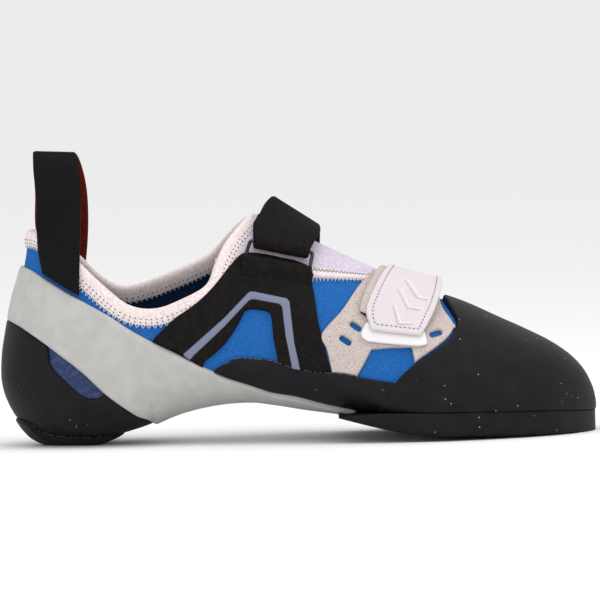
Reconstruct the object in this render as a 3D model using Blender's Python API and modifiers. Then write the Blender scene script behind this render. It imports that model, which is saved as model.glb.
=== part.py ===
"""Climbing shoe for the right foot, with two strap closures, at its real size in metres.

+X is the toe, +Y the inner side of the foot, +Z up. The origin is on the floor under the shoe's middle.
Every piece comes from one last: its sections give the outside of the upper, and each layer is that
surface moved along its own normal. Seams are drawn in the side view and cut through the layers.
"""
import math

import bmesh
import bpy
import numpy as np
from mathutils import Vector

# Main sizes
LENGTH = 0.2547          # back of the heel rand to the front of the toe cap
BALL_WIDTH = 0.0868      # upper across the ball of the foot
INSTEP_HEIGHT = 0.1000   # floor to the instep's crown at the front of the collar
HEEL_HEIGHT = 0.0915     # floor to the collar's edge at the back of the heel
HEEL_ROUND = 0.0290      # radius of the heel's back, seen from above

# Thicknesses
WALL = 0.0018            # upper and tongue
RAND = 0.0016            # rands and toe cap
SOLE = 0.0040            # outsoles, at their middle
LEATHER = 0.0014         # saddles and strap base
BINDING = 0.0010         # collar binding, outside the upper
LIP = 0.0008             # collar binding, inside the upper
STRAP = 0.0016
WEBBING = 0.0016
TAB = 0.0016
WIRE = 0.0024            # ring, diameter

# Fits
GAP = 0.0003             # between pieces that are glued, sewn or slid together
BINDING_WIDTH = 0.0060   # collar binding, edge to seam
UNDERFOOT_SHARE = 0.60   # opening underneath, share of the upper's half width
UNDERFOOT_TOP = 0.0245   # the cutter of that opening ends this high, inside the upper
SOLE_BLANK = 0.0300      # height of the forefoot sole before its edge is cut
HEEL_TREAD = 0.0050      # heel sole, under the lowest point
INSOLE_RISE = 0.0051     # top of the insole above the upper's underside

# Fineness of the faceted surfaces
AROUND = 24              # points round a section
STATION_STEP = 0.0190    # longest stretch between two sections
SEAM_STEPS = 1           # spans to a row of a seam
STRAP_STEPS = 2          # spans to a row of a strap
STRAP_COLUMNS = 4        # points over a strap's width
FINE = 16                # spans to a row where a table is only read
REACH = 0.0750           # half width of every side cutter
CEILING = 0.1500         # top of the collar's cutter
CELLAR = -0.0300         # bottom of the cutters that pass under the floor

HUNDREDTH = 0.01
LAST_LENGTH = LENGTH - 2.0 * (RAND + GAP)

# Sections of the last, heel to toe.
# along: hundredths of LAST_LENGTH. low: underside above the outsole, wide: widest level above the floor,
# high: crown above the floor, in hundredths of INSTEP_HEIGHT. outer, inner: half widths either side of
# the shoe's middle line, ridge: crown towards the inner side, in hundredths of BALL_WIDTH.
# under, over: roundness below and above the widest level, where 2 is an ellipse.
SECTIONS = (
    # along  low   wide   high   outer  inner  ridge  under  over
    (0.0,    0.0,  31.0, 108.0,  34.5,  33.0,   0.0,  2.3,  1.9),
    (8.0,    0.0,  31.0, 108.0,  34.7,  33.2,   0.0,  2.4,  1.9),
    (16.2,   0.4,  33.0, 108.5,  35.7,  34.0,   0.0,  2.4,  2.0),
    (22.6,   4.0,  36.0, 108.0,  35.7,  34.0,   0.0,  2.3,  2.1),
    (29.7,  10.2,  38.0, 106.5,  36.3,  34.0,   0.0,  2.2,  2.1),
    (36.9,  13.7,  38.0, 103.0,  38.0,  35.7,   0.0,  2.2,  2.0),
    (44.1,  14.0,  37.0,  94.0,  40.8,  38.0,   0.5,  2.2,  1.95),
    (51.3,  11.2,  34.0,  85.2,  44.0,  41.5,   1.0,  2.2,  1.9),
    (58.4,   8.5,  26.0,  76.4,  47.2,  45.0,   1.5,  2.3,  1.95),
    (65.6,   4.7,  19.5,  67.8,  49.5,  48.2,   3.0,  2.4,  2.0),
    (72.4,   2.0,  15.5,  60.3,  49.9,  50.3,   5.0,  2.5,  2.05),
    (78.4,   1.0,  13.5,  54.5,  47.0,  50.7,   8.0,  2.5,  2.05),
    (83.9,   0.7,  12.8,  47.8,  41.5,  49.5,  10.5,  2.5,  2.1),
    (88.7,   0.1,  12.2,  42.0,  34.6,  46.3,  12.0,  2.5,  2.15),
    (92.7,   0.0,  11.8,  36.7,  25.9,  42.3,  12.7,  2.5,  2.25),
    (95.9,   0.1,  11.3,  31.0,  16.1,  36.5,  13.2,  2.4,  2.35),
    (98.1,   0.6,  10.9,  25.0,   6.3,  30.5,  13.2,  2.2,  2.35),
    (99.4,   1.7,  10.6,  18.5,  -1.7,  24.8,  13.0,  2.0,  2.2),
    (99.9,   3.7,  10.5,  13.5,  -7.5,  19.0,  12.7,  2.0,  2.0),
    (100.0,  6.2,  10.5,  10.5, -12.7,  12.7,  12.7,  2.0,  2.0),
)

# Profile of the heel's back. up: hundredths of INSTEP_HEIGHT, back: hundredths of LAST_LENGTH from the
# rearmost point.
HEEL_BACK = (
    (4.3, 8.2), (5.0, 6.6), (7.0, 4.8), (9.5, 3.55), (12.5, 2.55), (16.0, 1.7), (19.0, 1.1), (23.0, 0.5),
    (27.0, 0.15), (31.0, 0.0), (36.0, 0.1), (42.0, 0.35), (50.0, 0.95), (58.0, 1.6), (65.0, 2.3),
    (70.0, 2.95), (75.0, 3.55), (82.0, 4.1), (91.0, 4.75), (100.0, 6.6), (108.0, 9.8),
)
HEEL_LEVELS = (31.0, 36.5, 43.0, 50.0, 58.0, 65.5, 74.0, 86.0, 95.0)   # sections start at these

# Seams in the side view. along: hundredths of LENGTH from the heel's back, up: hundredths of
# INSTEP_HEIGHT. Seams that run along the shoe go from heel to toe.
BAND_LOW = ((-2.5, 57.5), (2.6, 53.6), (6.5, 47.6), (10.4, 40.0), (14.3, 31.6), (18.3, 21.2),
            (22.2, 13.4), (25.4, 8.0), (27.0, -12.0))
BAND_TOP = ((-2.5, 79.5), (4.5, 77.3), (8.4, 72.3), (12.4, 65.8), (18.3, 57.0), (22.2, 50.2),
            (26.1, 44.4), (30.0, 39.3), (34.0, 33.6), (37.9, 28.4), (41.8, 24.7), (45.7, 20.9),
            (49.7, 19.0), (53.6, 16.0), (57.0, 13.8), (60.0, 12.3))
HEEL_LINE = ((-2.5, 15.0), (4.5, 11.0), (6.5, 7.2), (8.4, 4.9), (12.4, 3.7), (16.3, 3.6), (20.6, 4.6))
SOLE_LINE = ((56.6, 11.2), (60.0, 12.2), (65.0, 12.5), (72.0, 12.2), (79.0, 12.0), (85.0, 11.4),
             (93.0, 10.6), (99.0, 9.0), (103.0, 8.2))
GROUND = ((56.6, 10.4), (61.4, 7.1), (65.4, 4.5), (69.3, 2.7), (73.2, 1.6), (77.2, 1.1), (81.0, 0.8),
          (85.0, 0.35), (88.5, 0.0))
SIDE_TOP = ((35.9, 31.2), (37.9, 34.6), (39.9, 37.1), (41.8, 37.0), (45.7, 35.8), (49.7, 32.3),
            (53.6, 30.6), (57.5, 29.7), (61.4, 27.6), (66.2, 25.5))
CAP_EDGE = ((74.1, 70.0), (74.4, 61.0), (75.8, 54.6), (76.6, 50.0), (75.6, 44.2), (73.2, 39.3),
            (69.5, 33.3), (66.6, 26.8), (64.6, 18.8), (63.0, 12.5))

# Places along the shoe where plan outlines have their points: hundredths of LENGTH for the opening
# underneath, of LAST_LENGTH for the insole and the forefoot sole.
UNDERFOOT_PLAN = (14.0, 20.0, 26.0, 32.0, 38.0, 44.0, 50.0, 56.0, 62.0, 68.0, 74.0, 80.0, 86.0, 92.0)
INSOLE_PLAN = (5.0, 10.0, 15.0, 20.0, 25.0, 30.0, 34.0, 38.0, 43.0, 48.0, 53.0, 58.0, 62.0, 67.0, 72.0,
               77.0, 82.0, 87.0, 91.0, 96.0)
FOREFOOT_PLAN = (54.0, 57.5, 61.0, 64.5, 68.0, 71.0, 74.5, 78.0, 81.5, 85.0, 88.5, 92.0, 94.3, 95.9,
                 97.1, 98.1, 98.8, 99.4, 99.8, 99.97)

# Corners of the panels that those seams don't give
SADDLE_FRONT = ((52.1, 73.2), (52.7, 66.7), (53.4, 52.8), (54.4, 40.6), (55.6, 30.8))
SADDLE_BACK = ((26.2, 44.4), (28.1, 50.9), (30.0, 55.6))
SADDLE_WINDOW = ((33.2, 30.0), (34.2, 34.6), (36.0, 38.8), (38.0, 43.2), (39.9, 50.2), (41.4, 57.0),
                 (43.0, 57.6), (45.6, 56.2), (46.2, 45.4), (46.9, 34.0), (47.2, 29.0))
BASE_REAR = ((55.7, 30.4), (54.1, 46.9), (57.5, 55.8), (60.2, 64.8), (62.8, 71.6), (64.8, 82.0))
BASE_FRONT = ((74.2, 82.0), (74.0, 62.0), (74.1, 55.4), (75.6, 49.6), (76.2, 47.0))
BASE_WINDOW = ((69.5, 33.6), (69.0, 39.8), (62.3, 39.4), (60.8, 32.4), (59.6, 29.0))
HEEL_WINDOW = ((8.6, 50.0), (8.6, 40.0), (9.4, 34.6), (12.0, 26.6), (14.3, 22.2), (16.0, 21.2),
               (17.6, 22.6), (19.0, 30.0))
THROAT = ((36.0, 80.0), (41.8, 79.8), (46.5, 77.8), (51.3, 74.6), (56.7, 72.2), (62.6, 69.6),
          (66.9, 67.0), (70.0, 66.6))
SLOTS = ((61.5, 54.4, -0.61), (59.75, 48.9, -0.61), (58.0, 43.4, -0.61), (73.0, 44.6, 0.2))
SLOT_LENGTH = 0.0056
SLOT_WIDTH = 0.0025

# Collar edge from the heel's back to the instep. outer and inner: hundredths of LENGTH, up_outer and
# up_inner: hundredths of HEEL_HEIGHT in the first COLLAR_HEEL_ROWS rows, of INSTEP_HEIGHT after them.
COLLAR = (
    # outer  up_outer inner  up_inner
    (-4.0,  100.5,   -4.0,  100.5),
    (4.5,   100.1,    4.5,  100.1),
    (7.4,    99.0,    7.4,   99.2),
    (10.4,   93.6,   10.2,   94.6),
    (13.5,   85.9,   13.2,   87.0),
    (16.3,   78.3,   15.9,   79.1),
    (18.8,   65.6,   18.4,   67.4),
    (21.2,   60.6,   20.9,   65.2),
    (24.0,   58.0,   24.0,   66.4),
    (27.4,   58.2,   27.6,   69.6),
    (31.2,   61.8,   31.2,   73.2),
    (34.4,   65.8,   34.4,   76.8),
    (35.9,   69.6,   36.2,   79.6),
    (37.0,   77.0,   37.6,   83.4),
    (38.8,   85.6,   39.2,   88.0),
    (41.4,   93.0,   41.4,   93.4),
    (44.0,   98.6,   44.0,   98.6),
    (47.5,  105.0,   47.5,  105.0),
)
COLLAR_HEEL_ROWS = 6
COLLAR_SPREAD = 0.0290   # from the middle line to the collar's edges, where COLLAR holds

# Straps over the instep, from the free end on the outer side. rear, front: hundredths of LENGTH,
# turns in degrees from the crown, minus towards the outer side, lifts in millimetres off the upper.
REAR_STRAP_END = (
    # rear   turn    lift   front  turn    lift
    (44.0,  -17.0,   5.2,  52.8,  -10.0,   5.0),
    (43.4,  -27.0,   3.8,  52.7,  -18.0,   4.0),
)
REAR_STRAP = (
    # rear   turn    lift   front  turn    lift
    (43.2,  -31.0,   7.2,  53.0,  -22.0,   8.0),
    (43.9,  -20.0,   8.0,  53.7,  -13.0,   8.4),
    (44.9,  -10.0,   9.6,  54.0,   -5.0,   8.4),
    (46.1,    0.0,  10.8,  54.1,    3.0,   8.2),
    (46.5,   12.0,   9.4,  54.3,   10.0,   7.8),
    (46.1,   28.0,   6.2,  54.3,   24.0,   6.0),
    (45.7,   45.0,   3.4,  54.1,   40.0,   3.4),
    (45.3,   60.0,   2.9,  53.9,   55.0,   2.9),
    (45.1,   72.0,   2.9,  53.7,   67.0,   2.9),
)
FRONT_STRAP = (
    # rear   turn    lift   front  turn    lift
    (62.9,  -59.5,   4.9,  71.4,  -56.5,   4.9),
    (62.0,  -52.0,   4.8,  72.2,  -49.0,   4.8),
    (62.4,  -42.0,   4.8,  73.4,  -37.0,   5.2),
    (63.4,  -28.0,   5.2,  74.1,  -24.0,   6.8),
    (64.4,  -12.0,   5.3,  74.4,  -10.0,   8.2),
    (64.8,    0.0,   5.0,  74.3,    0.0,   8.2),
    (64.6,   14.0,   4.6,  74.0,   12.0,   7.4),
    (63.8,   32.0,   3.4,  73.6,   28.0,   5.0),
    (63.0,   50.0,   2.9,  72.8,   46.0,   3.0),
    (62.6,   64.0,   2.9,  72.2,   60.0,   2.9),
)
STRAP_TAB = (
    # rear   turn    lift   front  turn    lift
    (61.6,  -66.6,   2.9,  69.6,  -63.6,   2.9),
    (60.8,  -65.6,   2.9,  70.8,  -62.4,   2.9),
    (60.6,  -63.6,   2.9,  71.4,  -60.4,   2.9),
    (61.4,  -57.0,   2.9,  71.0,  -54.0,   2.9),
)
# Corners of the ring: along, turn, lift as above, its lower bar first
RING = ((41.7, -46.0, 3.3), (52.9, -36.0, 3.3), (53.3, -29.0, 5.2), (42.3, -39.0, 5.2))
RING_CORNER = 0.0022     # bend radius of its corners
MILLIMETRE = 0.001

# Pull loop, from the outer leg's end over the crest to the inner leg's end. across: hundredths of
# BALL_WIDTH, where the wall doesn't hold it further out. rear, front: its edges in hundredths of LENGTH,
# with their heights in hundredths of HEEL_HEIGHT.
PULL_LOOP = (
    # across  rear   up      front  up
    (-18.0,   7.7,   81.4,   13.8,   71.0),
    (-18.0,   7.2,   88.0,   13.9,   82.0),
    (-18.0,   6.9,   95.0,   14.1,   93.0),
    (-17.5,   6.8,  105.0,   14.3,  105.0),
    (-15.0,   6.9,  117.0,   14.4,  117.0),
    (-11.0,   7.0,  127.0,   14.3,  127.0),
    (-6.0,    7.2,  134.4,   14.0,  133.8),
    (0.0,     7.3,  137.0,   13.8,  136.0),
    (6.0,     7.2,  134.4,   14.2,  133.8),
    (11.0,    6.8,  127.0,   14.8,  127.0),
    (15.0,    6.4,  117.0,   15.2,  117.0),
    (17.5,    6.2,  105.0,   15.2,  105.0),
    (18.0,    6.5,   95.0,   14.9,   93.0),
    (18.0,    7.0,   88.0,   14.4,   82.0),
    (18.0,    7.7,   81.4,   13.8,   71.0),
)
LOOP_SLANT = 3.0         # most that the legs' clearance grows where the wall turns away

COLOURS = {
    # name: colour, roughness, metallic
    "blue_microfibre": ((0.02, 0.13, 0.45, 1.0), 0.85, 0.0),
    "lilac_knit": ((0.62, 0.56, 0.66, 1.0), 0.9, 0.0),
    "pale_binding": ((0.85, 0.76, 0.76, 1.0), 0.9, 0.0),
    "grey_rubber": ((0.5, 0.49, 0.47, 1.0), 0.6, 0.0),
    "black_rubber": ((0.017, 0.016, 0.019, 1.0), 0.55, 0.0),
    "black_leather": ((0.012, 0.010, 0.010, 1.0), 0.7, 0.0),
    "pale_suede": ((0.62, 0.55, 0.52, 1.0), 0.95, 0.0),
    "pale_leather": ((0.77, 0.72, 0.76, 1.0), 0.55, 0.0),
    "white_plastic": ((0.87, 0.86, 0.87, 1.0), 0.35, 0.0),
    "black_webbing": ((0.014, 0.013, 0.013, 1.0), 0.85, 0.0),
    "dark_wire": ((0.12, 0.12, 0.13, 1.0), 0.3, 1.0),
    "insole_felt": ((0.05, 0.06, 0.09, 1.0), 0.95, 0.0),
}


def smooth(rows, steps):
    """Catmull-Rom curve through the rows of a table, with so many spans between two rows."""
    rows = np.asarray(rows, float)
    ends = np.vstack([2.0 * rows[0] - rows[1], rows, 2.0 * rows[-1] - rows[-2]])
    spans = len(rows) - 1
    place = np.arange(spans * steps + 1) / steps
    first = np.minimum(place.astype(int), spans - 1)
    t = (place - first)[:, None]
    a, b, c, d = ends[first], ends[first + 1], ends[first + 2], ends[first + 3]
    return b + 0.5 * t * (c - a + t * (2.0 * a - 5.0 * b + 4.0 * c - d + t * (3.0 * (b - c) + d - a)))


SECTION_CURVE = smooth(SECTIONS, FINE)
BACK_CURVE = smooth(HEEL_BACK, FINE)


def last_x(along):
    """World x of a place along the last, in hundredths of its length."""
    return (np.asarray(along, float) * HUNDREDTH - 0.5) * LAST_LENGTH


def shoe_x(along):
    """World x of a place along the whole shoe, in hundredths of its length."""
    return (np.asarray(along, float) * HUNDREDTH - 0.5) * LENGTH


def section(x):
    """The last's section values at x, in metres but for the two roundness values."""
    values = [np.interp(x, last_x(SECTION_CURVE[:, 0]), column) for column in SECTION_CURVE.T]
    low, wide, high = (value * HUNDREDTH * INSTEP_HEIGHT for value in values[1:4])
    outer, inner, ridge = (value * HUNDREDTH * BALL_WIDTH for value in values[4:7])
    low = np.minimum(low + SOLE + GAP, wide)
    return low, wide, high, outer, inner, ridge, values[7], values[8]


def back_x(z):
    """World x of the heel's back at the height z."""
    up = BACK_CURVE[:, 0] * HUNDREDTH * INSTEP_HEIGHT
    return last_x(np.interp(z, up, BACK_CURVE[:, 1]))


def back_span(x):
    """Lowest and highest point of the heel's back profile at x."""
    up = BACK_CURVE[:, 0] * HUNDREDTH * INSTEP_HEIGHT
    back = last_x(BACK_CURVE[:, 1])
    rear = int(np.argmin(back))
    lower = np.interp(x, back[rear::-1], up[rear::-1])
    upper = np.interp(x, back[rear:], up[rear:])
    return lower, upper


def wall_y(x, z, side):
    """World y of the last at x and z, on the outer side where side is negative."""
    low, wide, high, outer, inner, ridge, under, over = section(x)
    span = np.where(z < wide, wide - low, high - wide)
    power = np.where(z < wide, under, over)
    share = np.clip(np.abs(z - wide) / np.maximum(span, 1e-9), 0.0, 1.0)
    width = (1.0 - share ** power) ** (1.0 / power)
    depth = np.clip((x - back_x(z)) / HEEL_ROUND, 0.0, 1.0)
    width = width * np.sqrt(1.0 - (1.0 - depth) ** 2)
    half = np.where(side < 0.0, outer + ridge, inner - ridge)
    return ridge + np.sign(side) * half * width


def surface(x, angle):
    """Points of the last at x and an angle, 90 degrees at the crown and 180 at the outer side.

    A section is a superellipse, above and below its widest level. At the heel it is squeezed into the
    back's profile, and its width fades by a quarter circle of HEEL_ROUND from that profile.
    """
    x, angle = np.broadcast_arrays(np.asarray(x, float), np.asarray(angle, float))
    low, wide, high, _, _, _, under, over = section(x)
    rise, side = np.sin(angle), np.cos(angle)
    power = np.where(rise < 0.0, under, over)
    span = np.where(rise < 0.0, wide - low, high - wide)
    z = wide + np.sign(rise) * np.abs(rise) ** (2.0 / power) * span
    lower, upper = back_span(x)
    lower = np.maximum(lower, low)
    upper = np.minimum(upper, high)
    z = lower + (z - low) * (upper - lower) / np.maximum(high - low, 1e-9)
    return np.stack([x, wall_y(x, z, side), z], axis=-1)


def normal(x, angle):
    """Outward unit normals of the last, from small steps either way."""
    step_x, step_angle = 0.0004, 0.02
    x = np.clip(x, last_x(0.0) + step_x, last_x(100.0) - step_x)
    along = surface(x + step_x, angle) - surface(x - step_x, angle)
    around = surface(x, angle + step_angle) - surface(x, angle - step_angle)
    out = np.cross(around, along)
    return out / np.maximum(np.linalg.norm(out, axis=-1, keepdims=True), 1e-12)


def on_last(along, turn, lift):
    """Point over the last: hundredths of LENGTH, degrees from the crown, millimetres off the upper."""
    x = shoe_x(along)
    angle = np.radians(90.0 - np.asarray(turn, float))
    return surface(x, angle) + normal(x, angle) * (np.asarray(lift, float) * MILLIMETRE)[..., None]


def stations():
    """World x of the sections: close together at the heel's back and at the toe."""
    heel = back_x(np.array(HEEL_LEVELS) * HUNDREDTH * INSTEP_HEIGHT)
    rows = last_x(np.array(SECTIONS)[:, 0])
    rows = rows[rows > heel[-1] + 0.5 * STATION_STEP]
    ends = np.concatenate([heel, rows])
    middle = (ends[:-1] + ends[1:]) / 2.0
    return np.sort(np.concatenate([ends, middle[np.diff(ends) > STATION_STEP]]))


def new_mesh(name, points, faces):
    """Mesh object of points and faces, with its faces pointing outwards, in no collection yet."""
    mesh = bpy.data.meshes.new(name)
    mesh.from_pydata([tuple(point) for point in points], [], faces)
    body = bmesh.new()
    body.from_mesh(mesh)
    bmesh.ops.recalc_face_normals(body, faces=body.faces)
    body.to_mesh(mesh)
    body.free()
    return bpy.data.objects.new(name, mesh)


def last_form(name, offset, under=None):
    """Closed form of the last at a distance off the upper, and at another underneath."""
    x = stations()[1:-1]
    angle = np.arange(AROUND) * 2.0 * math.pi / AROUND - math.pi / 2.0
    x, angle = np.meshgrid(x, angle, indexing="ij")
    out = normal(x, angle)
    under = offset if under is None else under
    down = np.clip(-out[..., 2:], 0.0, 1.0) ** 2
    points = surface(x, angle) + out * (offset + (under - offset) * down)
    heel = surface(last_x(0.0), 0.0) - Vector((offset, 0.0, 0.0))
    toe = surface(last_x(100.0), 0.0) + Vector((offset, 0.0, 0.0))
    rings, around = points.shape[:2]
    points = [heel, *points.reshape(-1, 3), toe]
    faces = []
    for column in range(around):
        beside = (column + 1) % around
        faces.append((0, 1 + beside, 1 + column))
        for ring in range(rings - 1):
            here, there = 1 + ring * around, 1 + (ring + 1) * around
            faces.append((here + column, here + beside, there + beside))
            faces.append((here + column, there + beside, there + column))
        base = 1 + (rings - 1) * around
        faces.append((base + column, base + beside, len(points) - 1))
    return new_mesh(name, points, faces)


def prism(name, outline, axis, start, stop):
    """Flat outline extruded along y (axis 1, outline in x and z) or z (axis 2, outline in x and y)."""
    body = bmesh.new()
    spots = [(u, start, v) if axis == 1 else (u, v, start) for u, v in outline]
    face = body.faces.new([body.verts.new(spot) for spot in spots])
    pushed = bmesh.ops.extrude_face_region(body, geom=[face])["geom"]
    move = Vector((0.0, stop - start, 0.0)) if axis == 1 else Vector((0.0, 0.0, stop - start))
    moved = [item for item in pushed if isinstance(item, bmesh.types.BMVert)]
    bmesh.ops.translate(body, vec=move, verts=moved)
    bmesh.ops.recalc_face_normals(body, faces=body.faces)
    mesh = bpy.data.meshes.new(name)
    body.to_mesh(mesh)
    body.free()
    return bpy.data.objects.new(name, mesh)


def side(rows, steps=SEAM_STEPS):
    """Seam as points x and z in metres, smoothed between its rows."""
    curve = smooth(rows, steps)
    return np.stack([shoe_x(curve[:, 0]), curve[:, 1] * HUNDREDTH * INSTEP_HEIGHT], axis=1)


def between(seam, start, stop, axis=0):
    """Stretch of a seam between two places, in hundredths along (axis 0) or up (axis 1)."""
    ends = shoe_x([start, stop]) if axis == 0 else np.array([start, stop]) * HUNDREDTH * INSTEP_HEIGHT
    order = seam if seam[0, axis] < seam[-1, axis] else seam[::-1]
    at_ends = [(np.interp(end, order[:, axis], order[:, 0]), np.interp(end, order[:, axis], order[:, 1]))
               for end in ends]
    inside = order[(order[:, axis] > ends.min()) & (order[:, axis] < ends.max())]
    if start > stop:
        inside = inside[::-1]
    return np.vstack([at_ends[0], inside, at_ends[1]]) if len(inside) else np.array(at_ends)


def raised(seam, distance):
    """Seam moved to its left by a distance: up, where it runs towards the toe."""
    run = np.gradient(seam, axis=0)
    run /= np.linalg.norm(run, axis=1, keepdims=True)
    return seam + distance * np.stack([-run[:, 1], run[:, 0]], axis=1)


def shrunk(outline, distance):
    """Closed outline with its edge moved inwards by a distance."""
    outline = np.asarray(outline, float)
    keep = np.linalg.norm(outline - np.roll(outline, 1, axis=0), axis=1) > distance
    outline = outline[keep]
    ahead = np.roll(outline, -1, axis=0) - outline
    ahead /= np.linalg.norm(ahead, axis=1, keepdims=True)
    behind = np.roll(ahead, 1, axis=0)
    area = np.sum(outline[:, 0] * np.roll(outline[:, 1], -1) - outline[:, 1] * np.roll(outline[:, 0], -1))
    turn = np.sign(area)
    inward = turn * np.stack([-(ahead + behind)[:, 1], (ahead + behind)[:, 0]], axis=1)
    length = np.linalg.norm(inward, axis=1, keepdims=True)
    inward = inward / np.maximum(length, 1e-9)
    mitre = np.maximum(length / 2.0, 0.5)
    return outline + inward * distance / mitre


def collar_lines(distance):
    """Outer and inner collar edge as x and z, moved to their left by a distance."""
    rows = np.array(COLLAR)
    height = np.where(np.arange(len(rows)) < COLLAR_HEEL_ROWS, HEEL_HEIGHT, INSTEP_HEIGHT)
    outer = np.stack([shoe_x(rows[:, 0]), rows[:, 1] * HUNDREDTH * height], axis=1)
    inner = np.stack([shoe_x(rows[:, 2]), rows[:, 3] * HUNDREDTH * height], axis=1)
    outer, inner = smooth(outer, SEAM_STEPS), smooth(inner, SEAM_STEPS)
    return raised(outer, distance), raised(inner, distance)


def collar_cutter(name, distance, far, clear=0.0):
    """Block above (far is CEILING) or below (far is CELLAR) the collar's edge, ruled across the shoe.

    clear moves it down and towards the toe, off a block that ends on the same line.
    """
    outer, inner = (line + (clear, -clear) for line in collar_lines(distance))
    ahead = np.array([[LENGTH, CEILING - INSTEP_HEIGHT * HUNDREDTH]])
    outer, inner = np.vstack([outer, ahead]), np.vstack([inner, ahead])
    across = (-REACH, -COLLAR_SPREAD, COLLAR_SPREAD, REACH)
    points = []
    for near, beyond in zip(outer, inner):
        edge = [(x, y, z) for y, (x, z) in zip(across, (near, near, beyond, beyond))]
        points += edge + [(x, y, far) for x, y, _ in reversed(edge)]
    count, round_trip = len(outer), 2 * len(across)
    faces = [tuple(range(round_trip)), tuple(len(points) - 1 - corner for corner in range(round_trip))]
    for row in range(count - 1):
        base = round_trip * row
        for corner in range(round_trip):
            here, beside = base + corner, base + (corner + 1) % round_trip
            faces.append((here, here + round_trip, beside + round_trip))
            faces.append((here, beside + round_trip, beside))
    return new_mesh(name, points, faces)


def strap_sheet(rows):
    """Grid of points of a strap from its table: rows along the strap, columns over its width."""
    curve = smooth(rows, STRAP_STEPS)
    share = np.linspace(0.0, 1.0, STRAP_COLUMNS)[None, :]
    along, turn, lift = (curve[:, [i]] * (1.0 - share) + curve[:, [i + 3]] * share for i in range(3))
    return on_last(along, turn, lift)


def sheet(name, grid, thickness):
    """Open sheet over a grid of points, thickened evenly to both sides."""
    rows, columns = grid.shape[:2]
    faces = [
        (row * columns + column, row * columns + column + 1, (row + 1) * columns + column + 1,
         (row + 1) * columns + column)
        for row in range(rows - 1) for column in range(columns - 1)
    ]
    mesh = bpy.data.meshes.new(name)
    mesh.from_pydata([tuple(point) for point in grid.reshape(-1, 3)], [], faces)
    piece = bpy.data.objects.new(name, mesh)
    shell = piece.modifiers.new("thickness", "SOLIDIFY")
    shell.thickness = thickness
    shell.offset = 0.0
    shell.use_even_offset = True
    return piece


def clear_scene():
    for item in list(bpy.data.objects):
        bpy.data.objects.remove(item, do_unlink=True)


def new_collection(name):
    collection = bpy.data.collections.new(name)
    bpy.context.scene.collection.children.link(collection)
    return collection


def material(name):
    colour, roughness, metallic = COLOURS[name]
    found = bpy.data.materials.get(name)
    if found:
        return found
    made = bpy.data.materials.new(name)
    made.use_nodes = True
    shader = made.node_tree.nodes["Principled BSDF"]
    shader.inputs["Base Color"].default_value = colour
    shader.inputs["Roughness"].default_value = roughness
    shader.inputs["Metallic"].default_value = metallic
    made.diffuse_color = colour
    return made


clear_scene()
SHOE = new_collection("climbing_shoe")
CUTTERS = new_collection("cutters")


def piece(item, finish):
    """Adds a piece to the shoe with its material."""
    item.data.materials.append(material(finish))
    SHOE.objects.link(item)
    return item


def cutter(item):
    """Adds a cutter, drawn as wire and never rendered."""
    item.hide_render = True
    item.display_type = "WIRE"
    CUTTERS.objects.link(item)
    return item


def boolean(item, operation, *tools):
    for tool in tools:
        modifier = item.modifiers.new(tool.name, "BOOLEAN")
        modifier.operation = operation
        modifier.solver = "EXACT"
        modifier.object = tool
    return item


def cut(item, *tools):
    return boolean(item, "DIFFERENCE", *tools)


def keep(item, *tools):
    return boolean(item, "INTERSECT", *tools)


def side_cutter(name, outline, start=-REACH, stop=REACH):
    """Cutter from a side-view outline, across the whole shoe or one side of it."""
    return cutter(prism(name, outline, 1, start, stop))


def panel(name, finish, thickness, outline, start=-REACH, stop=REACH):
    """Layer over the upper inside a side-view outline, half a gap short of its neighbours."""
    layer = piece(last_form(name, GAP + thickness), finish)
    keep(layer, side_cutter(name + "_outline", shrunk(outline, GAP / 2.0), start, stop))
    return cut(layer, UPPER_FACE)


# Cutters that several pieces share
UPPER_FACE = cutter(last_form("upper_face", GAP))
LINING_FACE = cutter(last_form("lining_face", -WALL))
FOOT_FACE = cutter(last_form("foot_face", -WALL - GAP))
ABOVE_COLLAR = cutter(collar_cutter("above_collar", 0.0, CEILING))

band_low = side(BAND_LOW)
band_top = side(BAND_TOP)
heel_line = side(HEEL_LINE)
sole_line = side(SOLE_LINE)
side_top = side(SIDE_TOP)
cap_edge = side(CAP_EDGE)
throat = side(THROAT)


def add_upper():
    """Hollow upper: the last less its lining face, open at collar, throat and underneath."""
    upper = piece(last_form("upper", 0.0), "blue_microfibre")
    above = [(throat[-1, 0], CEILING), (throat[0, 0], CEILING)]
    hole = side_cutter("throat", np.vstack([throat, above]))
    x = shoe_x(UNDERFOOT_PLAN)
    _, _, _, outer, inner, _, _, _ = section(x)
    near = np.stack([x, -UNDERFOOT_SHARE * outer], axis=1)
    far = np.stack([x, UNDERFOOT_SHARE * inner], axis=1)
    underfoot = cutter(prism("underfoot", np.vstack([near, far[::-1]]), 2, CELLAR, UNDERFOOT_TOP))
    cut(upper, LINING_FACE, ABOVE_COLLAR, hole, underfoot)


def add_tongue():
    """Stretch panel that fills the throat, level with the upper."""
    tongue = piece(last_form("tongue", 0.0), "lilac_knit")
    edge = raised(throat, GAP)
    above = [(edge[-1, 0], CEILING), (edge[0, 0], CEILING)]
    keep(tongue, side_cutter("tongue_outline", np.vstack([edge, above])))
    cut(tongue, LINING_FACE, ABOVE_COLLAR)


def add_collar_binding():
    """Channel over the collar's edge, its outer flange BINDING_WIDTH deep."""
    binding = piece(last_form("collar_binding", GAP + BINDING), "pale_binding")
    core = cutter(last_form("binding_core", GAP))
    seat = cutter(last_form("binding_seat", -WALL - 2.0 * GAP))
    cut(core, seat, cutter(collar_cutter("above_core", 2.0 * GAP, CEILING)))
    cut(
        binding,
        cutter(collar_cutter("above_binding", 2.0 * GAP + BINDING, CEILING)),
        cutter(collar_cutter("below_binding", -BINDING_WIDTH, CELLAR)),
        cutter(last_form("binding_lip", -WALL - 2.0 * GAP - LIP)),
        core,
    )


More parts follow.
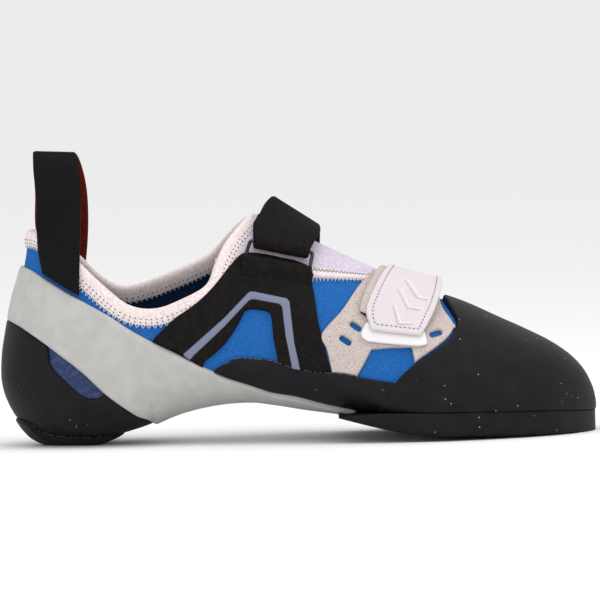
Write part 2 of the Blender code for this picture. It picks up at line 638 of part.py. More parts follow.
def add_insole():
    """Footbed inside the upper, flat across its top."""
    x = last_x(INSOLE_PLAN)
    top = np.stack([x, section(x)[0] + INSOLE_RISE], axis=1)
    floor = [(x[-1], CELLAR), (x[0], CELLAR)]
    insole = piece(last_form("insole", -WALL - GAP), "insole_felt")
    keep(insole, side_cutter("insole_outline", np.vstack([top, floor])))


def add_outsoles():
    """Forefoot sole with an upright edge, from the plan outline, and a heel sole from the last."""
    x = last_x(FOREFOOT_PLAN)
    _, _, _, outer, inner, _, _, _ = section(x)
    edge = np.vstack([np.stack([x, -outer], axis=1), np.stack([x, inner], axis=1)[::-1]])
    plan = shrunk(edge, -(RAND + GAP))
    ground = side(GROUND)
    front = np.array([(LENGTH, ground[-1, 1]), (LENGTH, sole_line[-1, 1])])
    forefoot = piece(prism("outsole_forefoot", plan, 2, CELLAR, SOLE_BLANK), "black_rubber")
    outline = np.vstack([ground, front, sole_line[::-1]])
    keep(forefoot, side_cutter("outsole_forefoot_outline", outline))
    cut(forefoot, UPPER_FACE)
    heel = piece(last_form("outsole_heel", GAP + RAND, GAP + HEEL_TREAD), "black_rubber")
    top = between(heel_line, -2.0, 20.6)
    floor = [(top[-1, 0], 0.0), (top[0, 0], 0.0)]
    keep(heel, side_cutter("outsole_heel_outline", np.vstack([top, floor])))
    cut(heel, UPPER_FACE)


def add_rands():
    """Rubber shell: heel, band round the heel and under the arch, forefoot sides and toe cap."""
    heel_bottom = np.array([(shoe_x(20.6), CELLAR), (shoe_x(27.0), CELLAR)])
    heel = np.vstack([heel_line, heel_bottom, band_low[band_low[:, 1] > 0.0][::-1]])
    rand = panel("heel_rand", "black_rubber", RAND, heel)
    cut(rand, side_cutter("heel_window", side(HEEL_WINDOW)))
    tip = between(sole_line, 59.7, 56.6)
    foot = [(tip[-1, 0] - GAP, CELLAR), (band_low[-1, 0], CELLAR)]
    band = np.vstack([between(band_top, -2.4, 59.7), tip - (GAP, 0.0), foot, band_low[::-1]])
    panel("slingshot_rand", "grey_rubber", RAND, band)
    strip = np.vstack([
        side_top,
        between(cap_edge, 25.0, 12.6, axis=1),
        between(sole_line, 62.6, 60.4),
        between(band_top, 59.4, 36.2),
    ])
    panel("side_rand_lateral", "black_rubber", RAND, strip, -REACH, 0.0)
    panel("side_rand_medial", "black_rubber", RAND, strip, 0.0, REACH)
    beyond = np.array([(LENGTH, sole_line[-1, 1]), (LENGTH, cap_edge[0, 1])])
    cap = np.vstack([cap_edge, between(sole_line, 63.4, 102.0), beyond])
    panel("toe_cap", "black_rubber", RAND, cap)


def saddle_outline(collar):
    """Panel under the rear strap, from the collar's edge and the throat to the band and the side rand."""
    return np.vstack([
        side(SADDLE_BACK), between(collar, 30.4, 37.4), between(throat, 39.0, 52.0),
        side(SADDLE_FRONT), between(side_top, 55.4, 36.6), between(band_top, 35.6, 26.6),
    ])


def add_strap_panels():
    """Saddles with their windows, and the slotted base of the front strap."""
    above_hem = cutter(collar_cutter("above_hem", -BINDING_WIDTH, CEILING, GAP))
    outer, inner = collar_lines(0.0)
    for name, collar, start, stop in (
        ("saddle_lateral", outer, -REACH, 0.0),
        ("saddle_medial", inner, 0.0, REACH),
    ):
        saddle = panel(name, "black_leather", LEATHER, saddle_outline(collar), start, stop)
        cut(saddle, side_cutter(name + "_window", side(SADDLE_WINDOW), start, stop), above_hem)
    outline = np.vstack([
        side(BASE_REAR), side(BASE_FRONT), between(cap_edge, 46.4, 33.6, axis=1), side(BASE_WINDOW),
        between(side_top, 59.4, 56.0),
    ])
    base = panel("strap_base", "pale_suede", LEATHER, outline)
    for number, (along, up, tilt) in enumerate(SLOTS, 1):
        angle = np.arange(8) * math.pi / 4.0
        long, short = SLOT_LENGTH / 2.0 * np.cos(angle), SLOT_WIDTH / 2.0 * np.sin(angle)
        x = shoe_x(along) + long * math.cos(tilt) - short * math.sin(tilt)
        z = up * HUNDREDTH * INSTEP_HEIGHT + long * math.sin(tilt) + short * math.cos(tilt)
        cut(base, side_cutter("slot_%d" % number, np.stack([x, z], axis=1)))


def strap_fold():
    """Rows of a strap's half turn round the ring's upper bar, from its inner to its outer layer."""
    lower_rear, lower_front, upper_front, upper_rear = (np.array(on_last(*corner)) for corner in RING)
    bar = upper_front - upper_rear
    span = np.linalg.norm(bar)
    along = bar / span
    up = (upper_front + upper_rear - lower_front - lower_rear) / 2.0
    up -= along * np.dot(up, along)
    up /= np.linalg.norm(up)
    out = np.cross(along, up)
    margin = (WIRE / 2.0 + 2.0 * GAP) / span
    centre = upper_rear + np.linspace(margin, 1.0 - margin, STRAP_COLUMNS)[None, :, None] * bar
    angle = np.radians(np.linspace(-90.0, 90.0, 5))[:, None, None]
    radius = WIRE / 2.0 + GAP + STRAP / 2.0
    return centre + radius * (out * np.sin(angle) - up * np.cos(angle))


def add_straps():
    """Rear and front strap, and the moulded grip under the front strap's end."""
    rear = [strap_sheet(REAR_STRAP_END), strap_fold(), strap_sheet(REAR_STRAP)]
    piece(sheet("rear_strap", np.concatenate(rear), STRAP), "black_webbing")
    piece(sheet("front_strap", strap_sheet(FRONT_STRAP), STRAP), "pale_leather")
    piece(sheet("strap_tab", strap_sheet(STRAP_TAB), TAB), "white_plastic")


def add_ring():
    """Rectangular wire ring: straight bars, with bends of RING_CORNER at its four corners."""
    ends = [Vector(on_last(*corner)) for corner in RING]
    path = []
    for i, corner in enumerate(ends):
        back = (ends[i - 1] - corner).normalized() * RING_CORNER
        ahead = (ends[(i + 1) % len(ends)] - corner).normalized() * RING_CORNER
        for t in (0.0, 0.5, 1.0):
            path.append(corner + back * (1.0 - t) ** 2 + ahead * t ** 2)
    curve = bpy.data.curves.new("ring", "CURVE")
    curve.dimensions = "3D"
    curve.bevel_depth = WIRE / 2.0
    curve.bevel_resolution = 1
    line = curve.splines.new("POLY")
    line.points.add(len(path) - 1)
    for point, spot in zip(line.points, path):
        point.co = (*spot, 1.0)
    line.use_cyclic_u = True
    piece(bpy.data.objects.new("ring", curve), "dark_wire")


def add_pull_loop():
    """Webbing over the heel: a leg down each side, outside the binding, its ends above the band."""
    rows = smooth(PULL_LOOP, STRAP_STEPS)
    share = np.linspace(0.0, 1.0, STRAP_COLUMNS)[None, :]
    across = rows[:, [0]] * HUNDREDTH * BALL_WIDTH + 0.0 * share
    x = shoe_x(rows[:, [1]]) * (1.0 - share) + shoe_x(rows[:, [3]]) * share
    z = (rows[:, [2]] * (1.0 - share) + rows[:, [4]] * share) * HUNDREDTH * HEEL_HEIGHT
    step = MILLIMETRE
    wall = wall_y(x, z, across)
    slope_x = (wall_y(x + step, z, across) - wall) / step
    slope_z = (wall_y(x, z + step, across) - wall) / step
    slant = np.minimum(np.sqrt(1.0 + slope_x ** 2 + slope_z ** 2), LOOP_SLANT)
    clear = (BINDING + 3.0 * GAP + WEBBING / 2.0) * slant
    y = np.sign(across) * np.maximum(np.abs(across), np.abs(wall) + clear)
    piece(sheet("pull_loop", np.stack([x, y, z], axis=-1), WEBBING), "black_webbing")


add_upper()
add_tongue()
add_collar_binding()
add_insole()
add_outsoles()
add_rands()
add_strap_panels()
add_straps()
add_ring()
add_pull_loop()
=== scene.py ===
# %% [markdown]
# # A climbing shoe, dressed over its checked model
#
# The object is a climbing shoe for the right foot: a stretch upper, rubber rands round it, two straps and
# a webbing loop at the heel. Its solids are already modelled. This script lays finer surfaces
# over them in the same frame, gives them their finishes and sets up the photo's view.

import math

import bpy
import numpy as np
from mathutils import Matrix, Vector, geometry


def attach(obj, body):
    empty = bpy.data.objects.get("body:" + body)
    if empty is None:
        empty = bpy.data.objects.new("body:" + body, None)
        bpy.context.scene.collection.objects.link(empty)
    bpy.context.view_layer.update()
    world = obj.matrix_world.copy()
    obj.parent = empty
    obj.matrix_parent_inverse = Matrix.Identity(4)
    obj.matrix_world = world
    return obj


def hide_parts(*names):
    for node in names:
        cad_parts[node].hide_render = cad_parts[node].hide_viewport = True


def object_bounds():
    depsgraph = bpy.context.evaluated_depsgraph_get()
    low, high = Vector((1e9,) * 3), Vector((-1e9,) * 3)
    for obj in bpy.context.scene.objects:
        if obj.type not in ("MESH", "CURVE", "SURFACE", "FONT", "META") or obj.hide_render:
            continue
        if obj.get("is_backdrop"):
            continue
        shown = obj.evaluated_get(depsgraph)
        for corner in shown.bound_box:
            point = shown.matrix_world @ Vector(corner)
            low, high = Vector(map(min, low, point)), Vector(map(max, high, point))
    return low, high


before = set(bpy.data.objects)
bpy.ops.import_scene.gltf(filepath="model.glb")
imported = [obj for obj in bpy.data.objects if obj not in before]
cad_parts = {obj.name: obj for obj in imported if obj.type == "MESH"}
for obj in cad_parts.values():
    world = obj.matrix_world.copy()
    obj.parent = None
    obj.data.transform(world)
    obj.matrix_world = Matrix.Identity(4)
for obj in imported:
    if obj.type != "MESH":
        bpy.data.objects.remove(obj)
cad_low, cad_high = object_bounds()
print("nodes", len(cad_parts), "box", [round(1000 * v, 1) for v in cad_high - cad_low])

# %% [markdown]
# ## The last
#
# A shoe takes its shape from a last, the foot-shaped form that it is pulled over. The whole shoe can be
# built from one rule that gives a point of the last for a place along the shoe and a turn round it. The
# rule is the model's own: a table of sections, each a superellipse with its own widest level, squeezed
# into a profile at the heel's back. Every layer then follows as the same surface, moved along its normal.

# %% Sizes and section tables
MM = 0.001
LENGTH = 254.7 * MM
BALL_WIDTH = 86.8 * MM
INSTEP_HEIGHT = 100.0 * MM
HEEL_HEIGHT = 91.5 * MM
HEEL_ROUND = 29.0 * MM
WALL = 1.8 * MM
RAND = 1.6 * MM
SOLE = 4.0 * MM
LEATHER = 1.4 * MM
GAP = 0.3 * MM
FACE = RAND + GAP
LAST_LENGTH = LENGTH - 2.0 * FACE

SECTIONS = (
    # along  low   wide   high   outer  inner  ridge  under  over
    (0.0, 0.0, 31.0, 108.0, 34.5, 33.0, 0.0, 2.3, 1.9),
    (8.0, 0.0, 31.0, 108.0, 34.7, 33.2, 0.0, 2.4, 1.9),
    (16.2, 0.4, 33.0, 108.5, 35.7, 34.0, 0.0, 2.4, 2.0),
    (22.6, 4.0, 36.0, 108.0, 35.7, 34.0, 0.0, 2.3, 2.1),
    (29.7, 10.2, 38.0, 106.5, 36.3, 34.0, 0.0, 2.2, 2.1),
    (36.9, 13.7, 38.0, 103.0, 38.0, 35.7, 0.0, 2.2, 2.0),
    (44.1, 14.0, 37.0, 94.0, 40.8, 38.0, 0.5, 2.2, 1.95),
    (51.3, 11.2, 34.0, 85.2, 44.0, 41.5, 1.0, 2.2, 1.9),
    (58.4, 8.5, 26.0, 76.4, 47.2, 45.0, 1.5, 2.3, 1.95),
    (65.6, 4.7, 19.5, 67.8, 49.5, 48.2, 3.0, 2.4, 2.0),
    (72.4, 2.0, 15.5, 60.3, 49.9, 50.3, 5.0, 2.5, 2.05),
    (78.4, 1.0, 13.5, 54.5, 47.0, 50.7, 8.0, 2.5, 2.05),
    (83.9, 0.7, 12.8, 47.8, 41.5, 49.5, 10.5, 2.5, 2.1),
    (88.7, 0.1, 12.2, 42.0, 34.6, 46.3, 12.0, 2.5, 2.15),
    (92.7, 0.0, 11.8, 36.7, 25.9, 42.3, 12.7, 2.5, 2.25),
    (95.9, 0.1, 11.3, 31.0, 16.1, 36.5, 13.2, 2.4, 2.35),
    (98.1, 0.6, 10.9, 25.0, 6.3, 30.5, 13.2, 2.2, 2.35),
    (99.4, 1.7, 10.6, 18.5, -1.7, 24.8, 13.0, 2.0, 2.2),
    (99.9, 3.7, 10.5, 13.5, -7.5, 19.0, 12.7, 2.0, 2.0),
    (100.0, 6.2, 10.5, 10.5, -12.7, 12.7, 12.7, 2.0, 2.0),
)
HEEL_BACK = (
    # up, back
    (4.3, 8.2), (5.0, 6.6), (7.0, 4.8), (9.5, 3.55), (12.5, 2.55), (16.0, 1.7), (19.0, 1.1), (23.0, 0.5),
    (27.0, 0.15), (31.0, 0.0), (36.0, 0.1), (42.0, 0.35), (50.0, 0.95), (58.0, 1.6), (65.0, 2.3),
    (70.0, 2.95), (75.0, 3.55), (82.0, 4.1), (91.0, 4.75), (100.0, 6.6), (108.0, 9.8),
)


def smooth(rows, steps=12):
    """Catmull-Rom curve: between two rows it blends them by cubics that match the slope at each row."""
    rows = np.asarray(rows, float)
    ends = np.vstack([2.0 * rows[0] - rows[1], rows, 2.0 * rows[-1] - rows[-2]])
    spans = len(rows) - 1
    place = np.arange(spans * steps + 1) / steps
    first = np.minimum(place.astype(int), spans - 1)
    t = (place - first)[:, None]
    a, b, c, d = ends[first], ends[first + 1], ends[first + 2], ends[first + 3]
    return b + 0.5 * t * (c - a + t * (2.0 * a - 5.0 * b + 4.0 * c - d + t * (3.0 * (b - c) + d - a)))


SECTION_CURVE = smooth(SECTIONS, 32)
BACK_CURVE = smooth(HEEL_BACK, 16)


def last_x(along):
    """World x of a place in hundredths of the last's length."""
    return (np.asarray(along, float) * 0.01 - 0.5) * LAST_LENGTH


def shoe_x(along):
    """World x of a place in hundredths of the whole shoe's length."""
    return (np.asarray(along, float) * 0.01 - 0.5) * LENGTH


heel_x, toe_x = last_x(0.0), last_x(100.0)


def section(x):
    """Low, wide and high level, outer and inner half width, ridge and the two roundnesses at x."""
    values = [np.interp(x, last_x(SECTION_CURVE[:, 0]), column) for column in SECTION_CURVE.T]
    low, wide, high = (value * 0.01 * INSTEP_HEIGHT for value in values[1:4])
    outer, inner, ridge = (value * 0.01 * BALL_WIDTH for value in values[4:7])
    return low + SOLE + GAP, wide, high, outer, inner, ridge, values[7], values[8]


def back_x(z):
    """World x of the heel's back at a height."""
    return last_x(np.interp(z, BACK_CURVE[:, 0] * 0.01 * INSTEP_HEIGHT, BACK_CURVE[:, 1]))


def level_span(x, low, high):
    """Lowest and highest point of the last at x: its own levels, cut off by the heel's back."""
    up = BACK_CURVE[:, 0] * 0.01 * INSTEP_HEIGHT
    back = last_x(BACK_CURVE[:, 1])
    rear = int(np.argmin(back))
    lower = np.interp(x, back[rear::-1], up[rear::-1])
    upper = np.interp(x, back[rear:], up[rear:])
    return np.maximum(lower, low), np.minimum(upper, high)


def wall_y(x, z, side):
    """World y: a superellipse's width at z, faded by a quarter circle from the heel's back."""
    low, wide, high, outer, inner, ridge, under, over = section(x)
    span = np.where(z < wide, wide - low, high - wide)
    power = np.where(z < wide, under, over)
    share = np.clip(np.abs(z - wide) / np.maximum(span, 1e-9), 0.0, 1.0)
    width = (1.0 - share**power) ** (1.0 / power)
    depth = np.clip((x - back_x(z)) / HEEL_ROUND, 0.0, 1.0)
    width = width * np.sqrt(1.0 - (1.0 - depth) ** 2)
    return ridge + np.sign(side) * np.where(side < 0.0, outer + ridge, inner - ridge) * width


def spot(x, turn):
    """Point of the last at x and a turn in radians: 0 at the crown, minus on the outer side, pi below."""
    x, turn = np.broadcast_arrays(np.asarray(x, float), np.asarray(turn, float))
    low, wide, high, _, _, _, under, over = section(x)
    rise = np.cos(turn)
    power = np.where(rise < 0.0, under, over)
    span = np.where(rise < 0.0, wide - low, high - wide)
    z = wide + np.sign(rise) * np.abs(rise) ** (2.0 / power) * span
    lower, upper = level_span(x, low, high)
    z = lower + (z - low) * (upper - lower) / np.maximum(high - low, 1e-9)
    return np.stack([x, wall_y(x, z, np.sin(turn)), z], axis=-1)


def normal(x, turn):
    """Outward unit normal: the cross product of small steps round and along the last."""
    step_x, step_turn = 0.0004, 0.02
    x = np.clip(x, last_x(0.0) + step_x, last_x(100.0) - step_x)
    along = spot(x + step_x, turn) - spot(x - step_x, turn)
    around = spot(x, turn - step_turn) - spot(x, turn + step_turn)
    out = np.cross(around, along)
    return out / np.maximum(np.linalg.norm(out, axis=-1, keepdims=True), 1e-12)


def lay(x, turn, lift):
    """Point at a distance off the last, along its normal."""
    return spot(x, turn) + normal(x, turn) * np.asarray(lift, float)[..., None]


def turn_at(x, z, side):
    """Turn of the point of the last at x and the height z, on the outer side where side is -1."""
    low, wide, high, _, _, _, under, over = section(x)
    lower, upper = level_span(x, low, high)
    full = low + (z - lower) * (high - low) / np.maximum(upper - lower, 1e-9)
    span = np.where(full < wide, wide - low, high - wide)
    share = np.clip(np.abs(full - wide) / np.maximum(span, 1e-9), 0.0, 1.0)
    rise = np.sign(full - wide) * share ** (np.where(full < wide, under, over) / 2.0)
    return side * np.arccos(np.clip(rise, -1.0, 1.0))


def onto(points):
    """Place and turn of the last near each point: radially in its section, round the axis at the heel."""
    x, y, z = points[..., 0], points[..., 1], points[..., 2]
    low, wide, high, outer, inner, ridge, under, over = section(x)
    lower, upper = level_span(x, low, high)
    full = low + (z - lower) * (high - low) / np.maximum(upper - lower, 1e-9)
    power = np.where(full < wide, under, over)
    span = np.where(full < wide, wide - low, high - wide)
    rise = np.sign(full - wide) * (np.abs(full - wide) / span) ** (power / 2.0)
    aside = np.abs(y - ridge) / np.where(y < ridge, outer + ridge, inner - ridge)
    rear = back_x(z)
    depth = np.clip((x - rear) / HEEL_ROUND, 0.002, 1.0)
    spread = aside / np.sqrt(1.0 - (1.0 - depth) ** 2)
    turn = np.arctan2(np.sign(y - ridge) * spread ** (power / 2.0), rise)
    share = np.clip(np.abs(z - wide) / np.where(z < wide, wide - low, high - wide), 0.0, 0.999)
    power = np.where(z < wide, under, over)
    width = (1.0 - share**power) ** (1.0 / power)
    angle = np.arctan2(aside / width, (rear + HEEL_ROUND - x) / HEEL_ROUND)
    round_x = rear + HEEL_ROUND * (1.0 - np.cos(angle))
    at_heel = x < rear + 0.7 * HEEL_ROUND
    round_turn = turn_at(round_x, z, np.where(y < ridge, -1.0, 1.0))
    return np.where(at_heel, round_x, x), np.where(at_heel, round_turn, turn)


print("crown at the instep", np.round(spot(last_x(44.1), 0.0) * 1000.0, 1))

# %% [markdown]
# ## Seams
#
# A pattern cutter marks the panels' edges on the last. Here each edge is a row of points in the side view:
# hundredths of the length from the heel's back and hundredths of the instep's height above the floor.

# %% Seam tables
BAND_LOW = ((-2.5, 57.5), (2.6, 53.6), (6.5, 47.6), (10.4, 40.0), (14.3, 31.6), (18.3, 21.2),
            (22.2, 13.4), (25.4, 8.0), (27.0, -12.0))
BAND_TOP = ((-2.5, 79.5), (4.5, 77.3), (8.4, 72.3), (12.4, 65.8), (18.3, 57.0), (22.2, 50.2),
            (26.1, 44.4), (30.0, 39.3), (34.0, 33.6), (37.9, 28.4), (41.8, 24.7), (45.7, 20.9),
            (49.7, 19.0), (53.6, 16.0), (57.0, 13.8), (60.0, 12.3))
HEEL_LINE = ((-2.5, 15.0), (4.5, 11.0), (6.5, 7.2), (8.4, 4.9), (12.4, 3.7), (16.3, 3.6), (20.6, 4.6))
SOLE_LINE = ((56.6, 11.2), (60.0, 12.2), (65.0, 12.5), (72.0, 12.2), (79.0, 12.0), (85.0, 11.4),
             (93.0, 10.6), (99.0, 9.0), (103.0, 8.2))
GROUND = ((56.6, 10.4), (61.4, 7.1), (65.4, 4.5), (69.3, 2.7), (73.2, 1.6), (77.2, 1.1), (81.0, 0.8),
          (85.0, 0.35), (88.5, 0.0), (94.0, 0.0), (103.0, 0.0))
SIDE_TOP = ((35.9, 31.2), (37.9, 34.6), (39.9, 37.1), (41.8, 37.0), (45.7, 35.8), (49.7, 32.3),
            (53.6, 30.6), (57.5, 29.7), (61.4, 27.6), (66.2, 25.5))
CAP_EDGE = ((74.1, 70.0), (74.4, 61.0), (75.8, 54.6), (76.6, 50.0), (75.6, 44.2), (73.2, 39.3),
            (69.5, 33.3), (66.6, 26.8), (64.6, 18.8), (63.0, 12.5))
THROAT = ((34.0, 80.0), (36.0, 80.0), (41.8, 79.8), (46.5, 77.8), (51.3, 74.6), (56.7, 72.2), (62.6, 69.6),
          (66.9, 67.0), (70.0, 66.6))
WINDOW_LOW = ((8.35, 60.0), (8.5, 40.0), (8.9, 35.8), (9.6, 33.2), (10.8, 30.0), (12.4, 25.6), (13.5, 23.1),
              (14.5, 21.3), (15.6, 20.8), (17.4, 22.2), (19.0, 30.0))
COLLAR_OUTER = ((-4.0, 92.0), (4.5, 91.6), (7.4, 90.6), (10.4, 85.6), (13.5, 78.6), (16.3, 71.6),
                (18.8, 65.6), (21.2, 60.6), (24.0, 58.0), (27.4, 58.2), (31.2, 61.8), (34.4, 65.8),
                (35.9, 69.6), (37.0, 77.0), (38.8, 85.6), (41.4, 93.0), (44.0, 98.6), (47.5, 105.0))
COLLAR_INNER = ((-4.0, 92.0), (4.5, 91.6), (7.4, 90.8), (10.2, 86.6), (13.2, 79.6), (15.9, 72.4),
                (18.4, 67.4), (20.9, 65.2), (24.0, 66.4), (27.6, 69.6), (31.2, 73.2), (34.4, 76.8),
                (36.2, 79.6), (37.6, 83.4), (39.2, 88.0), (41.4, 93.4), (44.0, 98.6), (47.5, 105.0))


def seam(rows, steps=12):
    """Seam as points x and z in metres, smoothed between its rows."""
    line = smooth(rows, steps)
    return np.stack([shoe_x(line[:, 0]), line[:, 1] * 0.01 * INSTEP_HEIGHT], axis=1)


def between(line, start, stop):
    """Stretch of a seam between two places along the shoe, in that order."""
    low, high = sorted((shoe_x(start), shoe_x(stop)))
    x = np.concatenate([[low], line[(line[:, 0] > low) & (line[:, 0] < high), 0], [high]])
    part = np.stack([x, np.interp(x, line[:, 0], line[:, 1])], axis=1)
    return part if start < stop else part[::-1]


def layer_turn(x, z, side, lift=FACE):
    """Turn at which a layer's face passes the height z: the last's height there is z less the lift's rise."""
    turn = turn_at(x, z, side)
    for _ in range(12):
        turn = 0.5 * turn + 0.5 * turn_at(x, z - lift * normal(x, turn)[..., 2], side)
    return turn


def level(rows):
    """Function of x and side that gives the turn at which a seam passes."""
    line = seam(rows)
    return lambda x, side: layer_turn(x, np.interp(x, line[:, 0], line[:, 1]), side)


def bottom(x, side):
    """Turn of the underside's middle line."""
    return side * math.pi + 0.0 * x


def crown(x, side):
    """Turn of the crown."""
    return 0.0 * side * x


def collar_turn(x, side):
    """Turn of the collar's edge, 0 in front of it."""
    line = seam(COLLAR_OUTER if side < 0.0 else COLLAR_INNER)
    return turn_at(x, np.interp(x, line[:, 0], line[:, 1]), side)


print("seams", [len(seam(rows)) for rows in (BAND_LOW, BAND_TOP, SIDE_TOP, CAP_EDGE)])

# %% [markdown]
# ## Laying a sheet on the last
#
# Rubber and leather are cut flat, pulled over the last and glued. A sheet keeps its thickness right up to
# a blunt edge that is rounded on top. So a layer is made from two copies of one net of places: the outer
# copy lifted by the thickness, which falls off near the net's edge, and the inner one sunk a little into
# the layer below. Net corners at one place are joined, so a net may close at the crown or underneath.

# %% Nets and closed sheets
FINISHES = {}
PIECES = []


def quads(rows, columns, first=0):
    """Four-cornered faces of a grid of points that is stored row by row."""
    corner = first + np.arange(rows - 1)[:, None] * columns + np.arange(columns - 1)[None, :]
    return np.stack([corner, corner + 1, corner + columns + 1, corner + columns], axis=-1).reshape(-1, 4)


def hoops(count, width, loop):
    """Faces between closed hoops of points, one after the other; loop joins the last hoop to the first."""
    hoop = np.arange(count if loop else count - 1)[:, None]
    point = np.arange(width)[None, :]
    after, beside = (hoop + 1) % count, (point + 1) % width
    corners = [hoop * width + point, after * width + point, after * width + beside, hoop * width + beside]
    return np.stack(corners, axis=-1).reshape(-1, 4).tolist()


def gather(grids):
    """Places, turns and faces of several grids, one after the other."""
    faces, first = [], 0
    for x, _ in grids:
        faces.append(quads(x.shape[0], x.shape[1], first))
        first += x.size
    x = np.concatenate([grid[0].ravel() for grid in grids])
    turn = np.concatenate([grid[1].ravel() for grid in grids])
    return x, turn, np.concatenate(faces)


def rings(x, low, top, columns):
    """Two grids, one a side: at each x the turns run evenly from the function low to the function top."""
    share = np.linspace(0.0, 1.0, columns)[None, :]
    made = []
    for side in (-1.0, 1.0):
        start, stop = low(x, side)[:, None], top(x, side)[:, None]
        turn = start + share * (stop - start)
        wide = x[:, None] + 0.0 * share
        made.append((wide, turn) if side > 0.0 else (wide[:, ::-1], turn[:, ::-1]))
    return made


def joined(points, faces):
    """One index for each place within a micrometre, and the faces on those, without their empty ones."""
    keys = np.round(points * 1e6).astype(np.int64)
    _, first, place = np.unique(keys, axis=0, return_index=True, return_inverse=True)
    rings_of = [list(dict.fromkeys(face)) for face in place.reshape(-1)[faces].tolist()]
    return first, [ring for ring in rings_of if len(ring) > 2]


def outline_edges(faces):
    """Directed edges that only one face has."""
    edges = {}
    for face in faces:
        for a, b in zip(face, face[1:] + face[:1]):
            if (b, a) in edges:
                del edges[(b, a)]
            else:
                edges[(a, b)] = True
    return np.array(list(edges), int).reshape(-1, 2)


def reach(points, starts, stops):
    """Distance from each point to the nearest of the straight edges."""
    near = np.full(len(points), 1.0)
    run = stops - starts
    size = np.maximum((run**2).sum(-1), 1e-18)
    for first in range(0, len(points), 1500):
        some = points[first:first + 1500, None]
        share = np.clip(((some - starts) * run).sum(-1) / size, 0.0, 1.0)
        near[first:first + 1500] = np.sqrt((((some - starts) - share[..., None] * run) ** 2).sum(-1)).min(1)
    return near


def edge_round(distance, radius, blunt=0.4):
    """Share of the full thickness: blunt at the edge, then a quarter circle up to 1 at the radius."""
    share = np.clip(distance / radius, 0.0, 1.0)
    return blunt + (1.0 - blunt) * np.sqrt(1.0 - (1.0 - share) ** 2)


def piece(name, points, faces, finish_names, rounded=True):
    """Object at the origin from points and faces, with a material slot for each finish named."""
    mesh = bpy.data.meshes.new(name)
    mesh.from_pydata(np.reshape(points, (-1, 3)).tolist(), [], faces)
    for finish_name in finish_names:
        mesh.materials.append(FINISHES[finish_name])
    mesh.polygons.foreach_set("use_smooth", [rounded] * len(mesh.polygons))
    mesh.update()
    item = bpy.data.objects.new(name, mesh)
    bpy.context.scene.collection.objects.link(item)
    PIECES.append(item)
    return item


def closed(name, outer, inner, faces, finish, lining=None):
    """Closed solid of an outer net, its inner copy and a strip round every free edge."""
    count = len(outer)
    strip = [[a, count + a, count + b, b] for a, b in outline_edges(faces).tolist()]
    back = [[count + corner for corner in face[::-1]] for face in faces]
    points = np.concatenate([outer, inner])
    item = piece(name, points, faces + back + strip, [finish, lining] if lining else [finish])
    if lining:
        slots = [0] * len(faces) + [1] * (len(back) + len(strip))
        item.data.polygons.foreach_set("material_index", slots)
    return item


def layer(name, grids, thickness, finish, radius=1.2 * MM, blunt=0.4, sink=0.3 * MM, lining=None):
    """Layer over the last on grids or a cut net; thickness is a length or a function of place and normal."""
    x, turn, faces = gather(grids) if isinstance(grids, list) else grids
    base, out = spot(x, turn), normal(x, turn)
    first, faces = joined(base, faces)
    base, out, x, turn = base[first], out[first], x[first], turn[first]
    a, b, c = (base[[face[i] for face in faces]] for i in range(3))
    facing = (np.cross(b - a, c - a) * out[[face[0] for face in faces]]).sum(-1)
    if facing.sum() < 0.0:
        faces = [face[::-1] for face in faces]
    edges = outline_edges(faces)
    print(name, len(faces), "faces,", len(edges), "free edges")
    lift = thickness(base, out, x, turn) if callable(thickness) else np.full(len(base), thickness)
    if len(edges) and radius:
        lift = lift * edge_round(reach(base, base[edges[:, 0]], base[edges[:, 1]]), radius, blunt)
    return closed(name, base + out * lift[:, None], base - out * sink, faces, finish, lining)


HEEL_FINE, TOE_FINE = 16.0 * MM, 9.0 * MM
LEAST_STEP = 0.1 * MM


def places(start, stop, step=1.5 * MM):
    """Places from start to stop, a step apart; near the heel's back and the toe they follow a cosine."""
    bend = np.linspace(0.0, math.pi / 2.0, 49)
    rear = heel_x + HEEL_FINE * (1.0 - np.cos(bend))
    front = toe_x - TOE_FINE * (1.0 - np.cos(bend[::2]))
    middle = np.arange(rear[-1] + step, front[-1] - 0.5 * step, step)
    x = np.sort(np.concatenate([rear, middle, front]))
    return np.concatenate([[start], x[(x > start + LEAST_STEP) & (x < stop - LEAST_STEP)], [stop]])


print("places along the shoe", len(places(heel_x, toe_x)))

# %% [markdown]
# ## Panels with free outlines
#
# The saddles and the suede base have corners, windows and slots. Their outlines are drawn in a flat chart
# of the last, with the place along the shoe one way and the turn, times a mean radius, the other. Inside
# an outline the chart is filled with triangles whose rows follow its edge, so that the edge can be rounded.

# %% Cut nets
CHART = 37.0 * MM


def length_along(line):
    """Distance along a line at each of its points."""
    return np.concatenate([[0.0], np.cumsum(np.linalg.norm(np.diff(line, axis=0), axis=1))])


def spread(line, count):
    """So many points at even distances along a line."""
    run = length_along(line)
    at = np.linspace(0.0, run[-1], count)
    return np.stack([np.interp(at, run, column) for column in line.T], axis=1)


def evenly(line, step, loop=False):
    """Points about a step apart along a line, or round a loop."""
    line = np.vstack([line, line[:1]]) if loop else line
    made = spread(line, max(2, int(round(length_along(line)[-1] / step)) + 1))
    return made[:-1] if loop else made


def chart(line, side):
    """Side-view points as points of the flat chart on one side, close enough together to stay straight."""
    line = evenly(line, 1.0 * MM)
    return np.stack([line[:, 0], CHART * turn_at(line[:, 0], line[:, 1], side)], axis=1)


def inside(points, loop):
    """True where a ray from a point to the right crosses the loop an odd number of times."""
    a, b = loop, np.roll(loop, -1, axis=0)
    px, py = points[:, 0][:, None], points[:, 1][:, None]
    spans = (a[:, 1] > py) != (b[:, 1] > py)
    rise = np.where(np.abs(b[:, 1] - a[:, 1]) < 1e-15, 1e-15, b[:, 1] - a[:, 1])
    cross = a[:, 0] + (py - a[:, 1]) / rise * (b[:, 0] - a[:, 0])
    return (spans & (px < cross)).sum(1) % 2 == 1


